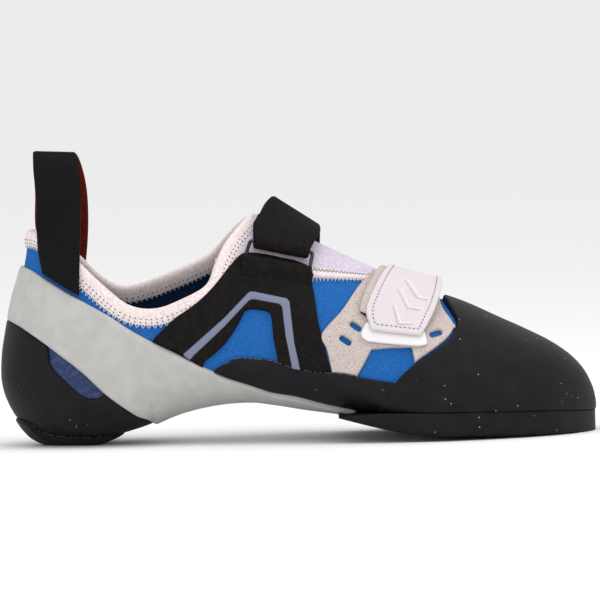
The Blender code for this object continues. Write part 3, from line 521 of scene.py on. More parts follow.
# Height of a triangle with three sides of 1.
EVEN_ROW = 0.866


def cut_net(outline, holes=(), step=1.5 * MM, edge=0.5 * MM, rows=(0.15, 0.4, 0.8, 1.3)):
    """Places, turns and triangles inside a closed chart outline and outside its holes.

    The points are rows that follow each edge at the given millimetres, and even triangles further in."""
    loops = [evenly(loop, edge, loop=True) for loop in (outline, *holes)]
    starts = np.concatenate(loops)
    stops = np.concatenate([np.roll(loop, -1, axis=0) for loop in loops])
    along = (stops - starts) / np.linalg.norm(stops - starts, axis=1, keepdims=True)
    across = np.stack([-along[:, 1], along[:, 0]], axis=1)
    middle = (starts + stops) / 2.0
    low, high = loops[0].min(0), loops[0].max(0)
    grid_x = np.arange(low[0], high[0], step)
    grid_y = np.arange(low[1], high[1], step * EVEN_ROW)
    mesh_x, mesh_y = np.meshgrid(grid_x, grid_y)
    mesh_x[1::2] += step / 2.0
    net = [np.stack([mesh_x.ravel(), mesh_y.ravel()], axis=1)]
    least = [rows[-1] * MM + 0.45 * step]
    for row in rows:
        for way in (-1.0, 1.0):
            net.append(middle + across * way * row * MM)
            least.append(row * MM * 0.95)
    kept = []
    for points, distance in zip(net, least):
        good = inside(points, loops[0])
        for hole in loops[1:]:
            good &= ~inside(points, hole)
        points = points[good]
        kept.append(points[reach(points, starts, stops) > distance])
    fixed, first = [], 0
    for loop in loops:
        number = first + np.arange(len(loop))
        fixed += list(zip(number.tolist(), np.roll(number, -1).tolist()))
        first += len(loop)
    points = np.concatenate([starts, *kept])
    flat, _, faces, *_ = geometry.delaunay_2d_cdt([Vector(p) for p in points.tolist()], fixed, [], 0, 1e-7)
    flat, faces = np.array([tuple(p) for p in flat]), np.array([list(face) for face in faces])
    centre = flat[faces].mean(1)
    good = inside(centre, loops[0])
    for hole in loops[1:]:
        good &= ~inside(centre, hole)
    return flat[:, 0], flat[:, 1] / CHART, faces[good]


# %% [markdown]
# ## Straps
#
# A strap is a woven or leather tape. It's given as a table of rows along it, each with the two ends of
# that row: place, turn and lift. The tape is a net of points between those, thickened to both sides with
# rounded long edges.

# %% Tapes
def tape_net(rows, steps, columns):
    """Points of a tape: smooth between its rows and straight over its width."""
    line = smooth(rows, steps)
    share = np.linspace(0.0, 1.0, columns)[None, :]
    along, turn, lift = (line[:, [i]] * (1.0 - share) + line[:, [i + 3]] * share for i in range(3))
    return lay(shoe_x(along), np.radians(turn), lift * MM)


def net_normals(net):
    """Unit normals of a grid of points, from its neighbours."""
    out = np.cross(np.gradient(net, axis=0), np.gradient(net, axis=1))
    return out / np.maximum(np.linalg.norm(out, axis=-1, keepdims=True), 1e-12)


def net_edge(net):
    """Distance of each point of a grid to the nearest of its four edges, measured along the grid."""
    found = []
    for axis in (0, 1):
        step = np.linalg.norm(np.diff(net, axis=axis), axis=-1)
        run = np.concatenate([np.zeros_like(np.take(step, [0], axis)), np.cumsum(step, axis)], axis)
        found += [run, np.take(run, [-1], axis) - run]
    return np.minimum.reduce(found)


def tape(name, net, thickness, finish, radius=0.8 * MM, blunt=0.35, relief=None, lining=None):
    """Closed tape over a grid of points; relief adds a height to its outer face."""
    out = net_normals(net)
    half = 0.5 * thickness * edge_round(net_edge(net), radius, blunt)[..., None]
    extra = 0.0 if relief is None else relief[..., None]
    faces = quads(net.shape[0], net.shape[1]).tolist()
    outer, inner = (net + out * (half + extra)).reshape(-1, 3), (net - out * half).reshape(-1, 3)
    middle = net.reshape(-1, 3)
    a, b, c = (middle[[face[i] for face in faces]] for i in range(3))
    if (np.cross(b - a, c - a) * out.reshape(-1, 3)[[face[0] for face in faces]]).sum() < 0.0:
        faces = [face[::-1] for face in faces]
    return closed(name, outer, inner, faces, finish, lining)


def tube(name, path, radius, finish, sides=12):
    """Round wire along a closed path: hoops of points on the two directions across it."""
    ahead = np.roll(path, -1, axis=0) - np.roll(path, 1, axis=0)
    ahead /= np.linalg.norm(ahead, axis=1, keepdims=True)
    across = np.cross(ahead, np.array([0.0, 0.35, 1.0]))
    across /= np.linalg.norm(across, axis=1, keepdims=True)
    over = np.cross(ahead, across)
    angle = np.arange(sides) * 2.0 * math.pi / sides
    round_it = across[:, None] * np.cos(angle)[:, None] + over[:, None] * np.sin(angle)[:, None]
    return piece(name, path[:, None] + radius * round_it, hoops(len(path), sides, True), [finish])


def threads(name, starts, stops, out, width, finish):
    """Stitches: each a long bead from start to stop, with four sides and two points."""
    ahead = stops - starts
    across = np.cross(ahead, out)
    across /= np.maximum(np.linalg.norm(across, axis=1, keepdims=True), 1e-12)
    middle = (starts + stops) / 2.0
    ring = [middle + across * width / 2.0, middle + out * width / 2.0,
            middle - across * width / 2.0, middle - out * width / 2.0]
    points = np.stack([starts, *ring, stops], axis=1)
    one = [[0, 2, 1], [0, 3, 2], [0, 4, 3], [0, 1, 4], [5, 1, 2], [5, 2, 3], [5, 3, 4], [5, 4, 1]]
    faces = [[6 * i + corner for corner in face] for i in range(len(points)) for face in one]
    return piece(name, points, faces, [finish], rounded=False)


# %% [markdown]
# ## Finishes
#
# Five kinds of matter carry the look: a speckled blue microfibre, matte black rubber with a few light
# specks of dust, pale grey rubber, pale suede and smooth leather, and woven tape. Each finish is one base
# colour, mottled by noise, with a fine bump for grain or nap. All textures read the object's own
# coordinates in metres.

# %% Finish recipes
def added(tree, kind, values=None, feeds=None, **settings):
    """New shader node: its settings, constants for some of its inputs, and sockets that feed others."""
    node = tree.nodes.new("ShaderNode" + kind)
    for name, value in settings.items():
        setattr(node, name, value)
    for name, value in (values or {}).items():
        node.inputs[name].default_value = value
    for name, socket in (feeds or {}).items():
        tree.links.new(socket, node.inputs[name])
    return node


def mottled(tree, place, colour, mottle):
    """Colour blended into a second one, by how far a noise lies between a low and a high level."""
    second, scale, low, high = mottle
    noise = added(tree, "TexNoise", {"Scale": scale, "Detail": 4.0}, {"Vector": place})
    ramp = added(tree, "MapRange", {"From Min": low, "From Max": high}, {"Value": noise.outputs["Fac"]})
    colours = {"A": (*colour, 1.0), "B": (*second, 1.0)}
    return added(tree, "Mix", colours, {"Factor": ramp.outputs["Result"]}, data_type="RGBA").outputs["Result"]


def speckled(tree, place, colour, paint, specks):
    """Light dots: the middles, up to a size, of the Voronoi cells whose red is under an amount."""
    light, scale, size, amount = specks
    cells = added(tree, "TexVoronoi", {"Scale": scale}, {"Vector": place})
    near = added(tree, "Math", {1: size}, {0: cells.outputs["Distance"]}, operation="LESS_THAN")
    split = added(tree, "SeparateColor", feeds={"Color": cells.outputs["Color"]})
    few = added(tree, "Math", {1: amount}, {0: split.outputs["Red"]}, operation="LESS_THAN")
    chosen = {0: near.outputs["Value"], 1: few.outputs["Value"]}
    both = added(tree, "Math", feeds=chosen, operation="MULTIPLY")
    feeds = {"Factor": both.outputs["Value"]}
    if paint:
        feeds["A"] = paint
    colours = {"A": (*colour, 1.0), "B": (*light, 1.0)}
    return added(tree, "Mix", colours, feeds, data_type="RGBA").outputs["Result"]


def ribbed(tree, place, direction, pitch):
    """Height of woven ribs: an uneven wave along a direction. Scale 1 makes 20 bands in 2 pi metres."""
    values = {"Scale": 2.0 * math.pi / (20.0 * pitch), "Distortion": 0.6, "Detail": 1.0, "Detail Scale": 4.0}
    wave = added(tree, "TexWave", values, {"Vector": place}, wave_type="BANDS", bands_direction=direction)
    return wave.outputs["Fac"]


def finish(name, colour, roughness, mottle=None, bump=None, specks=None, ribs=None, coat=0.0, metallic=0.0,
           gloss=0.25):
    """Principled finish in FINISHES.

    mottle: second colour, noise scale, low and high level. bump: noise scale and height in metres.
    specks: colour, cells a metre, size and amount. ribs: direction, pitch and height in metres."""
    made = bpy.data.materials.new(name)
    made.use_nodes = True
    tree = made.node_tree
    shader = tree.nodes["Principled BSDF"]
    values = {"Base Color": (*colour, 1.0), "Roughness": roughness, "Metallic": metallic, "Coat Weight": coat,
              "Specular IOR Level": gloss}
    for socket_name, value in values.items():
        shader.inputs[socket_name].default_value = value
    place = added(tree, "TexCoord").outputs["Object"]
    paint = mottled(tree, place, colour, mottle) if mottle else None
    if specks:
        paint = speckled(tree, place, colour, paint, specks)
    if paint:
        tree.links.new(paint, shader.inputs["Base Color"])
    height = None
    if bump:
        scale, depth = bump
        height = added(tree, "TexNoise", {"Scale": scale, "Detail": 3.0}, {"Vector": place}).outputs["Fac"]
    if ribs:
        direction, pitch, depth = ribs
        height = ribbed(tree, place, direction, pitch)
    if height:
        raised = added(tree, "Bump", {"Distance": depth, "Strength": 1.0}, {"Height": height})
        tree.links.new(raised.outputs["Normal"], shader.inputs["Normal"])
    made.diffuse_color = (*colour, 1.0)
    FINISHES[name] = made


# %% [markdown]
# The colours are linear values, so a dark one looks lighter in the picture than its number says. Rubber and
# leather carry a few pale specks of dust, and the webbing has ribs instead of grain.

# %% Finishes of this shoe
finish("blue_fabric", (0.012, 0.105, 0.36), 0.9, ((0.03, 0.17, 0.50), 2200.0, 0.45, 0.7), (3000.0, 0.00006),
       gloss=0.1)
finish("navy_lining", (0.003, 0.014, 0.045), 0.9, ((0.01, 0.03, 0.085), 1500.0, 0.45, 0.7),
       (2500.0, 0.00006), gloss=0.1)
finish("lilac_stretch", (0.56, 0.50, 0.61), 0.9, ((0.68, 0.62, 0.72), 700.0, 0.4, 0.6), (2600.0, 0.00005),
       gloss=0.1)
finish("pale_tape", (0.74, 0.63, 0.62), 0.9, ((0.86, 0.77, 0.76), 900.0, 0.4, 0.6), (2600.0, 0.00008),
       gloss=0.1)
finish("grey_rubber", (0.455, 0.445, 0.43), 0.6, ((0.50, 0.49, 0.475), 160.0, 0.4, 0.62), (700.0, 0.00003),
       gloss=0.2)
finish("black_rubber", (0.0072, 0.0066, 0.0085), 0.55, ((0.0105, 0.010, 0.012), 120.0, 0.4, 0.65),
       (500.0, 0.00003), specks=((0.42, 0.40, 0.38), 420.0, 0.11, 0.10), gloss=0.13)
finish("black_leather", (0.0058, 0.0048, 0.0044), 0.7, ((0.010, 0.0085, 0.008), 500.0, 0.4, 0.65),
       (1800.0, 0.00008), specks=((0.30, 0.28, 0.26), 420.0, 0.075, 0.04), gloss=0.1)
finish("lilac_stripe", (0.19, 0.205, 0.30), 0.5, bump=(1500.0, 0.00002), gloss=0.2)
finish("pale_suede", (0.60, 0.52, 0.485), 0.95, ((0.36, 0.29, 0.265), 1900.0, 0.47, 0.68), (2200.0, 0.0001),
       gloss=0.1)
finish("pale_leather", (0.66, 0.60, 0.63), 0.6, ((0.72, 0.66, 0.69), 1600.0, 0.4, 0.65), (2500.0, 0.00004),
       gloss=0.2)
finish("dust", (0.42, 0.40, 0.38), 0.9)
# Painted highlight and painted shade: the lit and the shaded flank of the front strap's embossed ridges.
finish("ridge_painted_highlight", (0.92, 0.89, 0.90), 0.5)
finish("ridge_painted_shade", (0.55, 0.50, 0.53), 0.7)
finish("white_plastic", (0.80, 0.79, 0.81), 0.4, gloss=0.3)
finish("black_webbing", (0.005, 0.0048, 0.0048), 0.8, ribs=("Z", 1.1 * MM, 0.00022), gloss=0.12)
finish("red_webbing", (0.115, 0.010, 0.004), 0.8, ribs=("Z", 1.1 * MM, 0.0002), gloss=0.1)
finish("strap_weave", (0.0055, 0.0046, 0.0042), 0.8, ((0.010, 0.0085, 0.008), 800.0, 0.4, 0.65),
       (2600.0, 0.00012), gloss=0.1)
finish("dark_wire", (0.045, 0.045, 0.05), 0.18, metallic=1.0)
finish("dark_thread", (0.045, 0.04, 0.042), 0.8)
finish("pale_thread", (0.76, 0.72, 0.71), 0.8)
finish("heel_film", (0.008, 0.025, 0.10), 0.3, ((0.03, 0.05, 0.13), 420.0, 0.5, 0.62), (300.0, 0.0003),
       coat=0.2)
print("finishes", len(FINISHES))

# %% [markdown]
# ## Upper and lining
#
# The upper is one stretched sock of microfibre, blue outside and navy inside. It's a net of rings from the
# heel's back to the toe, each open at the top where the collar's edge passes it.

# %% Upper
upper = layer("upper_cloth", rings(places(heel_x, toe_x), bottom, collar_turn, 60), 0.0, "blue_fabric",
              radius=0.0, sink=WALL, lining="navy_lining")
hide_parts("upper")

# %% [markdown]
# ## Collar binding
#
# A folded tape covers the raw edge of the collar all round. Its cross section is a flattened hook that
# runs round the edge, so it's swept along the edge: at each point of the edge the section's depth is
# measured down along the last and its height off the last.

# %% Binding
COLLAR_REAR_UP, COLLAR_FRONT = 91.6 * MM, 47.4
FINE_STEP = 0.4 * MM


def collar_path(step):
    """Closed line of the collar's edge as places and turns: outer side to the front, inner side back."""
    found = []
    bend = np.linspace(0.0, 0.9, 70)
    rear_part = back_x(COLLAR_REAR_UP) + HEEL_ROUND * (1.0 - np.cos(bend))
    for side in (-1.0, 1.0):
        x = np.concatenate([rear_part, np.arange(rear_part[-1] + FINE_STEP, shoe_x(COLLAR_FRONT), FINE_STEP)])
        turn = collar_turn(x, side)
        open_part = np.flatnonzero(np.abs(turn) > 0.0)
        part = np.stack([x, turn], axis=1)[max(open_part[0] - 1, 0):open_part[-1] + 2]
        found.append(part if side < 0.0 else part[::-1])
    line = np.concatenate([found[0], found[1][1:-1]])
    points = spot(line[:, 0], line[:, 1])
    run = np.linalg.norm(np.roll(points, -1, axis=0) - points, axis=1)
    at = np.concatenate([[0.0], np.cumsum(run)])
    count = int(at[-1] / step)
    even = np.linspace(0.0, at[-1], count, endpoint=False)
    loop = np.vstack([line, line[:1]])
    return np.stack([np.interp(even, at, column) for column in loop.T], axis=1)


rim = collar_path(1.0 * MM)
rim_points = spot(rim[:, 0], rim[:, 1])
for _ in range(3):
    rim_points = 0.5 * rim_points + 0.25 * (np.roll(rim_points, 1, axis=0) + np.roll(rim_points, -1, axis=0))
rim_out = normal(rim[:, 0], rim[:, 1])
rim_ahead = np.roll(rim_points, -1, axis=0) - np.roll(rim_points, 1, axis=0)
rim_ahead /= np.linalg.norm(rim_ahead, axis=1, keepdims=True)
rim_down = np.cross(rim_ahead, rim_out)
rim_down *= -np.sign((rim_down * (rim_points.mean(0) - rim_points)).sum())


def off_rim(depth, lift):
    """Points at a depth down the last from the collar's edge and at a lift off it."""
    x, turn = onto(rim_points + rim_down * depth * MM)
    return lay(x, turn, lift * MM + 0.0 * x)


HOOK = (
    # depth down from the edge, height off the last
    (6.0, 0.05), (6.0, 0.55), (5.6, 0.85), (4.4, 1.05), (2.6, 1.3), (1.2, 1.4), (0.2, 1.25), (-0.6, 0.75),
    (-1.1, -0.1), (-1.25, -0.9), (-1.0, -1.8), (-0.4, -2.5), (0.5, -2.9), (2.0, -3.0), (4.4, -2.8),
    (5.6, -2.6), (6.0, -2.3), (6.0, -1.7),
)
hook = np.stack([off_rim(depth, lift) for depth, lift in HOOK], axis=1)
hook_faces = [[a, d, c, b] for a, b, c, d in hoops(len(rim), len(HOOK), True)]
collar_tape = piece("collar_tape", hook, hook_faces, ["pale_tape"])
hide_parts("collar_binding")
print("collar's edge", round(1000.0 * length_along(rim_points)[-1]), "mm")

# %% [markdown]
# The binding is held by a zigzag stitch over its lower edge and a row of dark stitches above it, outside
# and inside.

# %% Binding stitches
def zigzag(upper_row, lower_row, out):
    """Ends and outward directions of stitches that go from one row down to the other and up again."""
    number = np.arange(0, len(upper_row) - 2, 2)
    starts = np.concatenate([upper_row[number], lower_row[number + 1]])
    stops = np.concatenate([lower_row[number + 1], upper_row[number + 2]])
    return starts, stops, np.concatenate([out[number], out[number + 1]])


ZIGZAGS = (
    # name, upper depth, lower depth, lift, facing, width
    ("zigzag_outside", 4.8, 7.5, 0.85, 1.0, 0.45),
    ("zigzag_inside", 4.6, 7.0, -3.0, -1.0, 0.4),
)
DOTS = (("dots_outside", 3.5, 1.22), ("dots_low", 4.9, 1.0), ("dots_inside", 4.2, -3.0))
DOT_HALF, DOT_WIDTH = 0.45 * MM, 0.6 * MM
for name, upper_depth, lower_depth, lift, facing, stitch_width in ZIGZAGS:
    starts, stops, out = zigzag(off_rim(upper_depth, lift), off_rim(lower_depth, lift), rim_out)
    threads(name, starts, stops, facing * out, stitch_width * MM, "pale_thread")
for name, depth, lift in DOTS:
    row = off_rim(depth, lift)[::2]
    ahead = rim_ahead[::2] * DOT_HALF
    threads(name, row - ahead, row + ahead, rim_out[::2], DOT_WIDTH, "dark_thread")
print("stitch rows on the binding", len(ZIGZAGS) + len(DOTS))

# %% [markdown]
# ## Tongue
#
# A stretch panel closes the throat. Its edge is a pale tape, sewn down with a zigzag.

# %% Tongue and throat tape
TONGUE_EDGE, TONGUE_SWELL, SWELL_TURN = 0.9 * MM, 0.9 * MM, 0.35


def swollen(base, out, x, turn):
    """Tongue a little thicker along the crown, by a bell curve of the turn."""
    return TONGUE_EDGE + TONGUE_SWELL * np.exp(-((turn / SWELL_TURN) ** 2))


x = places(shoe_x(36.6), shoe_x(68.6), 1.2 * MM)
tongue = layer("tongue_panel", rings(x, level(THROAT), collar_turn, 30), swollen, "lilac_stretch")
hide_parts("tongue")
TAPE_LOW = ((50.0, 71.8), (51.6, 71.3), (57.0, 70.4), (62.6, 69.0), (68.6, 66.4))
TAPE_TOP = ((50.0, 76.4), (51.6, 75.6), (56.7, 73.3), (62.6, 70.7), (66.9, 68.1), (68.6, 67.9))
TAPE_FACE = 1.6 * MM
THROAT_STITCHES = (
    # start and stop as shares of the tape's width, lift at the stop, finish
    (0.1, 0.55, 1.6, "dark_thread"),
    (0.5, 1.5, 0.8, "pale_thread"),
)
x = places(shoe_x(50.5), shoe_x(68.4), 0.8 * MM)
place = np.arange(shoe_x(51.2), shoe_x(67.5), 0.8 * MM)
for number, (side, word) in enumerate(((-1.0, "outer"), (1.0, "inner"))):
    one_side = rings(x, level(TAPE_LOW), level(TAPE_TOP), 8)[number]
    layer("throat_tape_" + word, [one_side], 1.5 * MM, "pale_tape", radius=0.6 * MM)
    top = level(TAPE_TOP)(place, side)
    down = level(TAPE_LOW)(place, side) - top
    for part, (start, stop, lift, thread) in enumerate(THROAT_STITCHES):
        high = lay(place, top + start * down, TAPE_FACE + 0.0 * place)
        low = lay(place, top + stop * down, lift * MM + 0.0 * place)
        starts, stops, out = zigzag(high, low, normal(place, top))
        threads("throat_zigzag_%d_%s" % (part, word), starts, stops, out, 0.4 * MM, thread)

# %% [markdown]
# ## Rubber
#
# Sheet rubber is stretched round the heel, under the arch and over the toes. The heel shell has a notch on
# each side that shows the cloth under a clear film. The pale band pulls round the heel and runs under the
# arch to the forefoot.

# %% Heel shell and film
band_low, band_top = seam(BAND_LOW), seam(BAND_TOP)
window_low, side_top = seam(WINDOW_LOW), seam(SIDE_TOP)
sole_line, heel_line = seam(SOLE_LINE), seam(HEEL_LINE)


NO_NOTCH = 1.0
UNDER_BAND = 0.7 * MM
FILM_REACH, FILM = 1.0 * MM, 0.5 * MM


def shell_top(x, side):
    """Turn of the heel shell's upper edge: a little way under the band, and round the notch."""
    z = np.interp(x, band_low[:, 0], band_low[:, 1])
    notch = np.interp(x, window_low[:, 0], window_low[:, 1], left=NO_NOTCH, right=NO_NOTCH)
    return layer_turn(x, np.minimum(z + UNDER_BAND, notch), side)


def shell_low(x, side):
    """Turn of the heel sole's line, and the underside's middle behind its front end."""
    z = np.interp(x, heel_line[:, 0], heel_line[:, 1], right=-0.05)
    return layer_turn(x, z, side)


def band_under(x, side):
    """Turn of the band's lower edge, the underside's middle from the arch on."""
    return layer_turn(x, np.interp(x, band_low[:, 0], band_low[:, 1]), side)


def parting(edge):
    """Place at the heel's back where an edge leaves the crown line, and places behind it at square steps."""
    x = np.linspace(heel_x, shoe_x(8.0), 2000)
    off_crown = edge(x, 1.0) > 0.004
    return x[np.argmax(off_crown)] + 0.012 * MM * np.arange(9) ** 2


corner = np.arange(shoe_x(8.2), shoe_x(9.6), 0.25 * MM)
x = np.unique(np.concatenate([places(heel_x, shoe_x(25.6)), corner, parting(shell_top)]))
heel_shell = layer("heel_shell", rings(x, shell_low, shell_top, 40), FACE, "black_rubber")
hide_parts("heel_rand")
x = places(shoe_x(8.4), shoe_x(18.6), 0.8 * MM)


def film_top(x, side):
    """Turn a little above the band's lower edge."""
    return layer_turn(x, np.interp(x, band_low[:, 0], band_low[:, 1]) + FILM_REACH, side)


def film_low(x, side):
    """Turn a little below the notch."""
    low = np.interp(x, window_low[:, 0], window_low[:, 1]) - FILM_REACH
    return layer_turn(x, np.minimum(low, np.interp(x, band_low[:, 0], band_low[:, 1])), side)


for name, grid in zip(("film_outer", "film_inner"), rings(x, film_low, film_top, 24)):
    layer(name, [grid], FILM, "heel_film")

# %% [markdown]
# The band starts where its lower edge crosses the heel's back. It's a little thicker under the arch.

# %% Heel band
under_start = parting(band_under)
whole_band = places(under_start[0], shoe_x(59.8), 1.2 * MM)
x = np.unique(np.concatenate([whole_band, under_start, parting(level(BAND_TOP))]))
OVER_SHELL = 0.12 * MM
UNDER_ARCH = ((18.0, 1.2), (25.0, 1.2), (31.0, 0.6), (42.0, 0.5), (46.0, 1.1), (56.0, 1.3), (62.0, 1.2))
arch_line = seam(UNDER_ARCH)


def arched(base, out, x, turn):
    """Band a little thicker under the arch, where it doubles over the shank."""
    more = np.interp(x, arch_line[:, 0], arch_line[:, 1] / (0.01 * INSTEP_HEIGHT)) * MM
    return FACE + OVER_SHELL + more * np.clip(-out[:, 2], 0.0, 1.0) ** 2


band = layer("heel_band", rings(x, band_under, level(BAND_TOP), 44), arched, "grey_rubber", radius=1.4 * MM)
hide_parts("slingshot_rand")

# %% [markdown]
# The forefoot has a strip of rubber on each side and a cap over the toes, whose edge leans back down to
# the sole. Both end on that leaning seam.

# %% Side strips and toe cap
cap_edge = seam(CAP_EDGE)[::-1]
SEAM_FOOT, SEAM_TOP = 12.5 * MM, 62.0 * MM
STRIP_START, STRIP_RISE, STRIP_UNDER_CAP = 36.1, 13.0 * MM, 1.5 * MM
BAND_END, BAND_ROOM = 59.6, 0.2 * MM
CAP = FACE + 0.5 * MM


def cap_x(z):
    """Place of the toe cap's edge at a height."""
    return np.interp(z, cap_edge[:, 1], cap_edge[:, 0])


def strip_net(side):
    """Grid between the band or the sole below and the strip's upper seam, up to the toe cap's edge."""
    along = np.linspace(0.0, 1.0, 90)[:, None]
    up = np.linspace(0.0, 1.0, 18)[None, :]
    start = shoe_x(STRIP_START)
    stop = cap_x(SEAM_FOOT + STRIP_RISE * up) + STRIP_UNDER_CAP
    x = start + along * (stop - start)
    on_band = np.interp(x, band_top[:, 0], band_top[:, 1]) + BAND_ROOM
    low = np.where(x < shoe_x(BAND_END), on_band, np.interp(x, sole_line[:, 0], sole_line[:, 1]))
    top = np.maximum(np.interp(x, side_top[:, 0], side_top[:, 1]), low + 0.05 * MM)
    return x, layer_turn(x, low + up * (top - low), side)


SIDES = ((-1.0, "outer", "lateral"), (1.0, "inner", "medial"))
for side, word, node_word in SIDES:
    strip = layer("side_strip_" + word, [strip_net(side)], FACE, "black_rubber", blunt=0.7)
    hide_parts("side_rand_" + node_word)


def cap_net(side):
    """Grid of the toe cap's half: from its edge to the toe, and from the sole's line to the crown."""
    z = np.linspace(SEAM_FOOT, SEAM_TOP, 400)
    edge_turn = np.abs(layer_turn(cap_x(z), z, side))
    up = np.linspace(0.0, 1.0, 64)[None, :]
    first = edge_turn[0] * (1.0 - up)
    start = np.interp(first, edge_turn[::-1], cap_x(z)[::-1])
    along = np.linspace(0.0, 1.0, 130)[:, None]
    x = start + (toe_x - start) * np.sin(along * math.pi / 2.0)
    low = np.abs(layer_turn(x, np.interp(x, sole_line[:, 0], sole_line[:, 1]), side))
    low_start = np.abs(layer_turn(start, np.interp(start, sole_line[:, 0], sole_line[:, 1]), side))
    turn = (1.0 - up) * low + (1.0 - along) * (first - (1.0 - up) * low_start)
    return x, side * turn


cap_grids = [cap_net(-1.0), cap_net(1.0)]
toe_cap = layer("toe_rubber", cap_grids, CAP, "black_rubber", blunt=0.75)
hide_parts("toe_cap")

# %% [markdown]
# ## Soles
#
# The forefoot sole is cut from a flat sheet, so its plan is the last's widest outline and its edge stands
# upright. The heel sole is a thin skin with a flat where it rests.

# %% Forefoot sole
def plan_offset(line, distance):
    """Plan outline moved outwards by a distance."""
    run = np.gradient(line, axis=0)
    run /= np.linalg.norm(run, axis=1, keepdims=True)
    return line + distance * np.stack([run[:, 1], -run[:, 0]], axis=1)


SOLE_START, TOE_BEND, TOE_LENGTH = 56.7, 92.0, 8.0
toe_turn = np.linspace(0.0, math.pi / 2.0, 50)
straight = np.linspace(shoe_x(SOLE_START), last_x(TOE_BEND), 60)[:-1]
x = np.concatenate([straight, last_x(100.0 - TOE_LENGTH * (1.0 - np.sin(toe_turn)))])
x = np.minimum(x, last_x(99.999))
outer, inner = section(x)[3:5]
whole = np.vstack([np.stack([x, -outer], axis=1), np.stack([x, inner], axis=1)[::-1]])
whole = plan_offset(whole, FACE)
near_edge, far_edge = whole[:len(x)], whole[len(x):][::-1]
CUP = (
    # along, millimetres that the edge stands off the ground line
    (56.6, 1.0), (61.4, 1.1), (73.0, 1.2), (77.0, 1.5), (81.0, 2.0), (89.0, 2.0), (94.6, 0.8), (98.0, 0.3),
    (103.0, 0.2),
)
PROFILE = (
    # millimetres in from the edge, share of the height
    (1.5, 1.0), (0.3, 1.0), (0.06, 0.93), (0.0, 0.8), (0.0, 0.3), (0.08, 0.1), (0.35, 0.0), (1.5, 0.0),
    (3.0, 0.0), (5.0, 0.0), (8.0, 0.0),
)
CUP_REACH = 8.0
NEAR_MIDDLE = 0.45
cup_x, cup_rise = shoe_x([row[0] for row in CUP]), np.array([row[1] for row in CUP]) * MM
ground_line = seam(GROUND)


def half_profile(edge, beyond):
    """Columns of the profile along one edge: moved inwards, and up between the ground and the sole's line."""
    inward = beyond - edge
    size = np.linalg.norm(inward, axis=1, keepdims=True)
    inward = inward / np.maximum(size, 1e-9)
    columns = []
    for inset, up in PROFILE:
        flat = edge + inward * np.minimum(inset * MM, NEAR_MIDDLE * size)
        low = np.interp(flat[:, 0], ground_line[:, 0], ground_line[:, 1])
        low = low + np.interp(flat[:, 0], cup_x, cup_rise) * (1.0 - inset / CUP_REACH) ** 2
        high = np.interp(flat[:, 0], sole_line[:, 0], sole_line[:, 1])
        columns.append(np.stack([flat[:, 0], flat[:, 1], low + up * (high - low)], axis=1))
    return columns


ring = np.stack(half_profile(near_edge, far_edge) + half_profile(far_edge, near_edge)[::-1], axis=1)
count, width = ring.shape[:2]
end_faces = [list(range(width)), list(range((count - 1) * width, count * width))[::-1]]
forefoot_sole = piece("forefoot_sole", ring, hoops(count, width, False) + end_faces, ["black_rubber"])
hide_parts("outsole_forefoot")
print("forefoot sole", count, "hoops of", width)

# %% [markdown]
# The heel sole is a skin that thickens underneath, flattened where it meets the floor.

# %% Heel sole
TREAD_FRONT, TREAD_FULL = 20.8, 14.0
TREAD, OVER_RAND = 3.2 * MM, 0.06 * MM
HEEL_SOLE_BACK = back_x(14.6 * MM) - 0.4 * MM


def tread(base, out, x, turn):
    """Skin as thick as the rand at the side and thicker underneath, but never under the floor."""
    taper = np.clip((shoe_x(TREAD_FRONT) - x) / (shoe_x(TREAD_FRONT) - shoe_x(TREAD_FULL)), 0.0, 1.0)
    full = FACE + OVER_RAND + TREAD * taper * (2.0 - taper) * np.clip(-out[:, 2], 0.0, 1.0) ** 2
    down = np.maximum(-out[:, 2], 1e-6)
    return np.where(out[:, 2] < -0.05, np.minimum(full, np.maximum(base[:, 2], 0.0) / down), full)


heel_grids = rings(places(HEEL_SOLE_BACK, shoe_x(20.6), 1.2 * MM), bottom, level(HEEL_LINE), 40)
heel_sole = layer("heel_sole", heel_grids, tread, "black_rubber", radius=0.8 * MM, blunt=0.55)
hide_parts("outsole_heel")

# %% [markdown]
# Dust and glue leave a thin broken pale line along the heel sole's upper edge and the strip's.

# %% Dusty edges
MARK, MARK_WIDTH = 1.1 * MM, 0.16 * MM


def dusty(name, line, start, stop, lift, skip):
    """Pale marks along a seam of the outer side, but not each skip-th, nor the fourth of every seven."""
    part = evenly(between(line, start, stop), MARK)
    turn = layer_turn(part[:, 0], part[:, 1], -1.0)
    row = lay(part[:, 0], turn, lift + 0.0 * turn)
    out = normal(part[:, 0], turn)
    number = np.arange(len(row) - 1)
    number = number[(number % skip != 0) & (number % 7 != 3)]
    threads(name, row[number], row[number + 1], out[number], MARK_WIDTH, "dust")
    print(name, len(number), "marks")


dusty("heel_dust", heel_line, 5.2, 16.5, FACE + 0.05 * MM, 5)
dusty("strip_dust", side_top, 37.5, 60.0, FACE * 0.75, 4)

# %% [markdown]
# ## Saddles
#
# On each side a leather panel carries the rear strap's pull down to the band. A window in it shows the
# cloth, and a lilac stripe runs round the window like an upturned V.

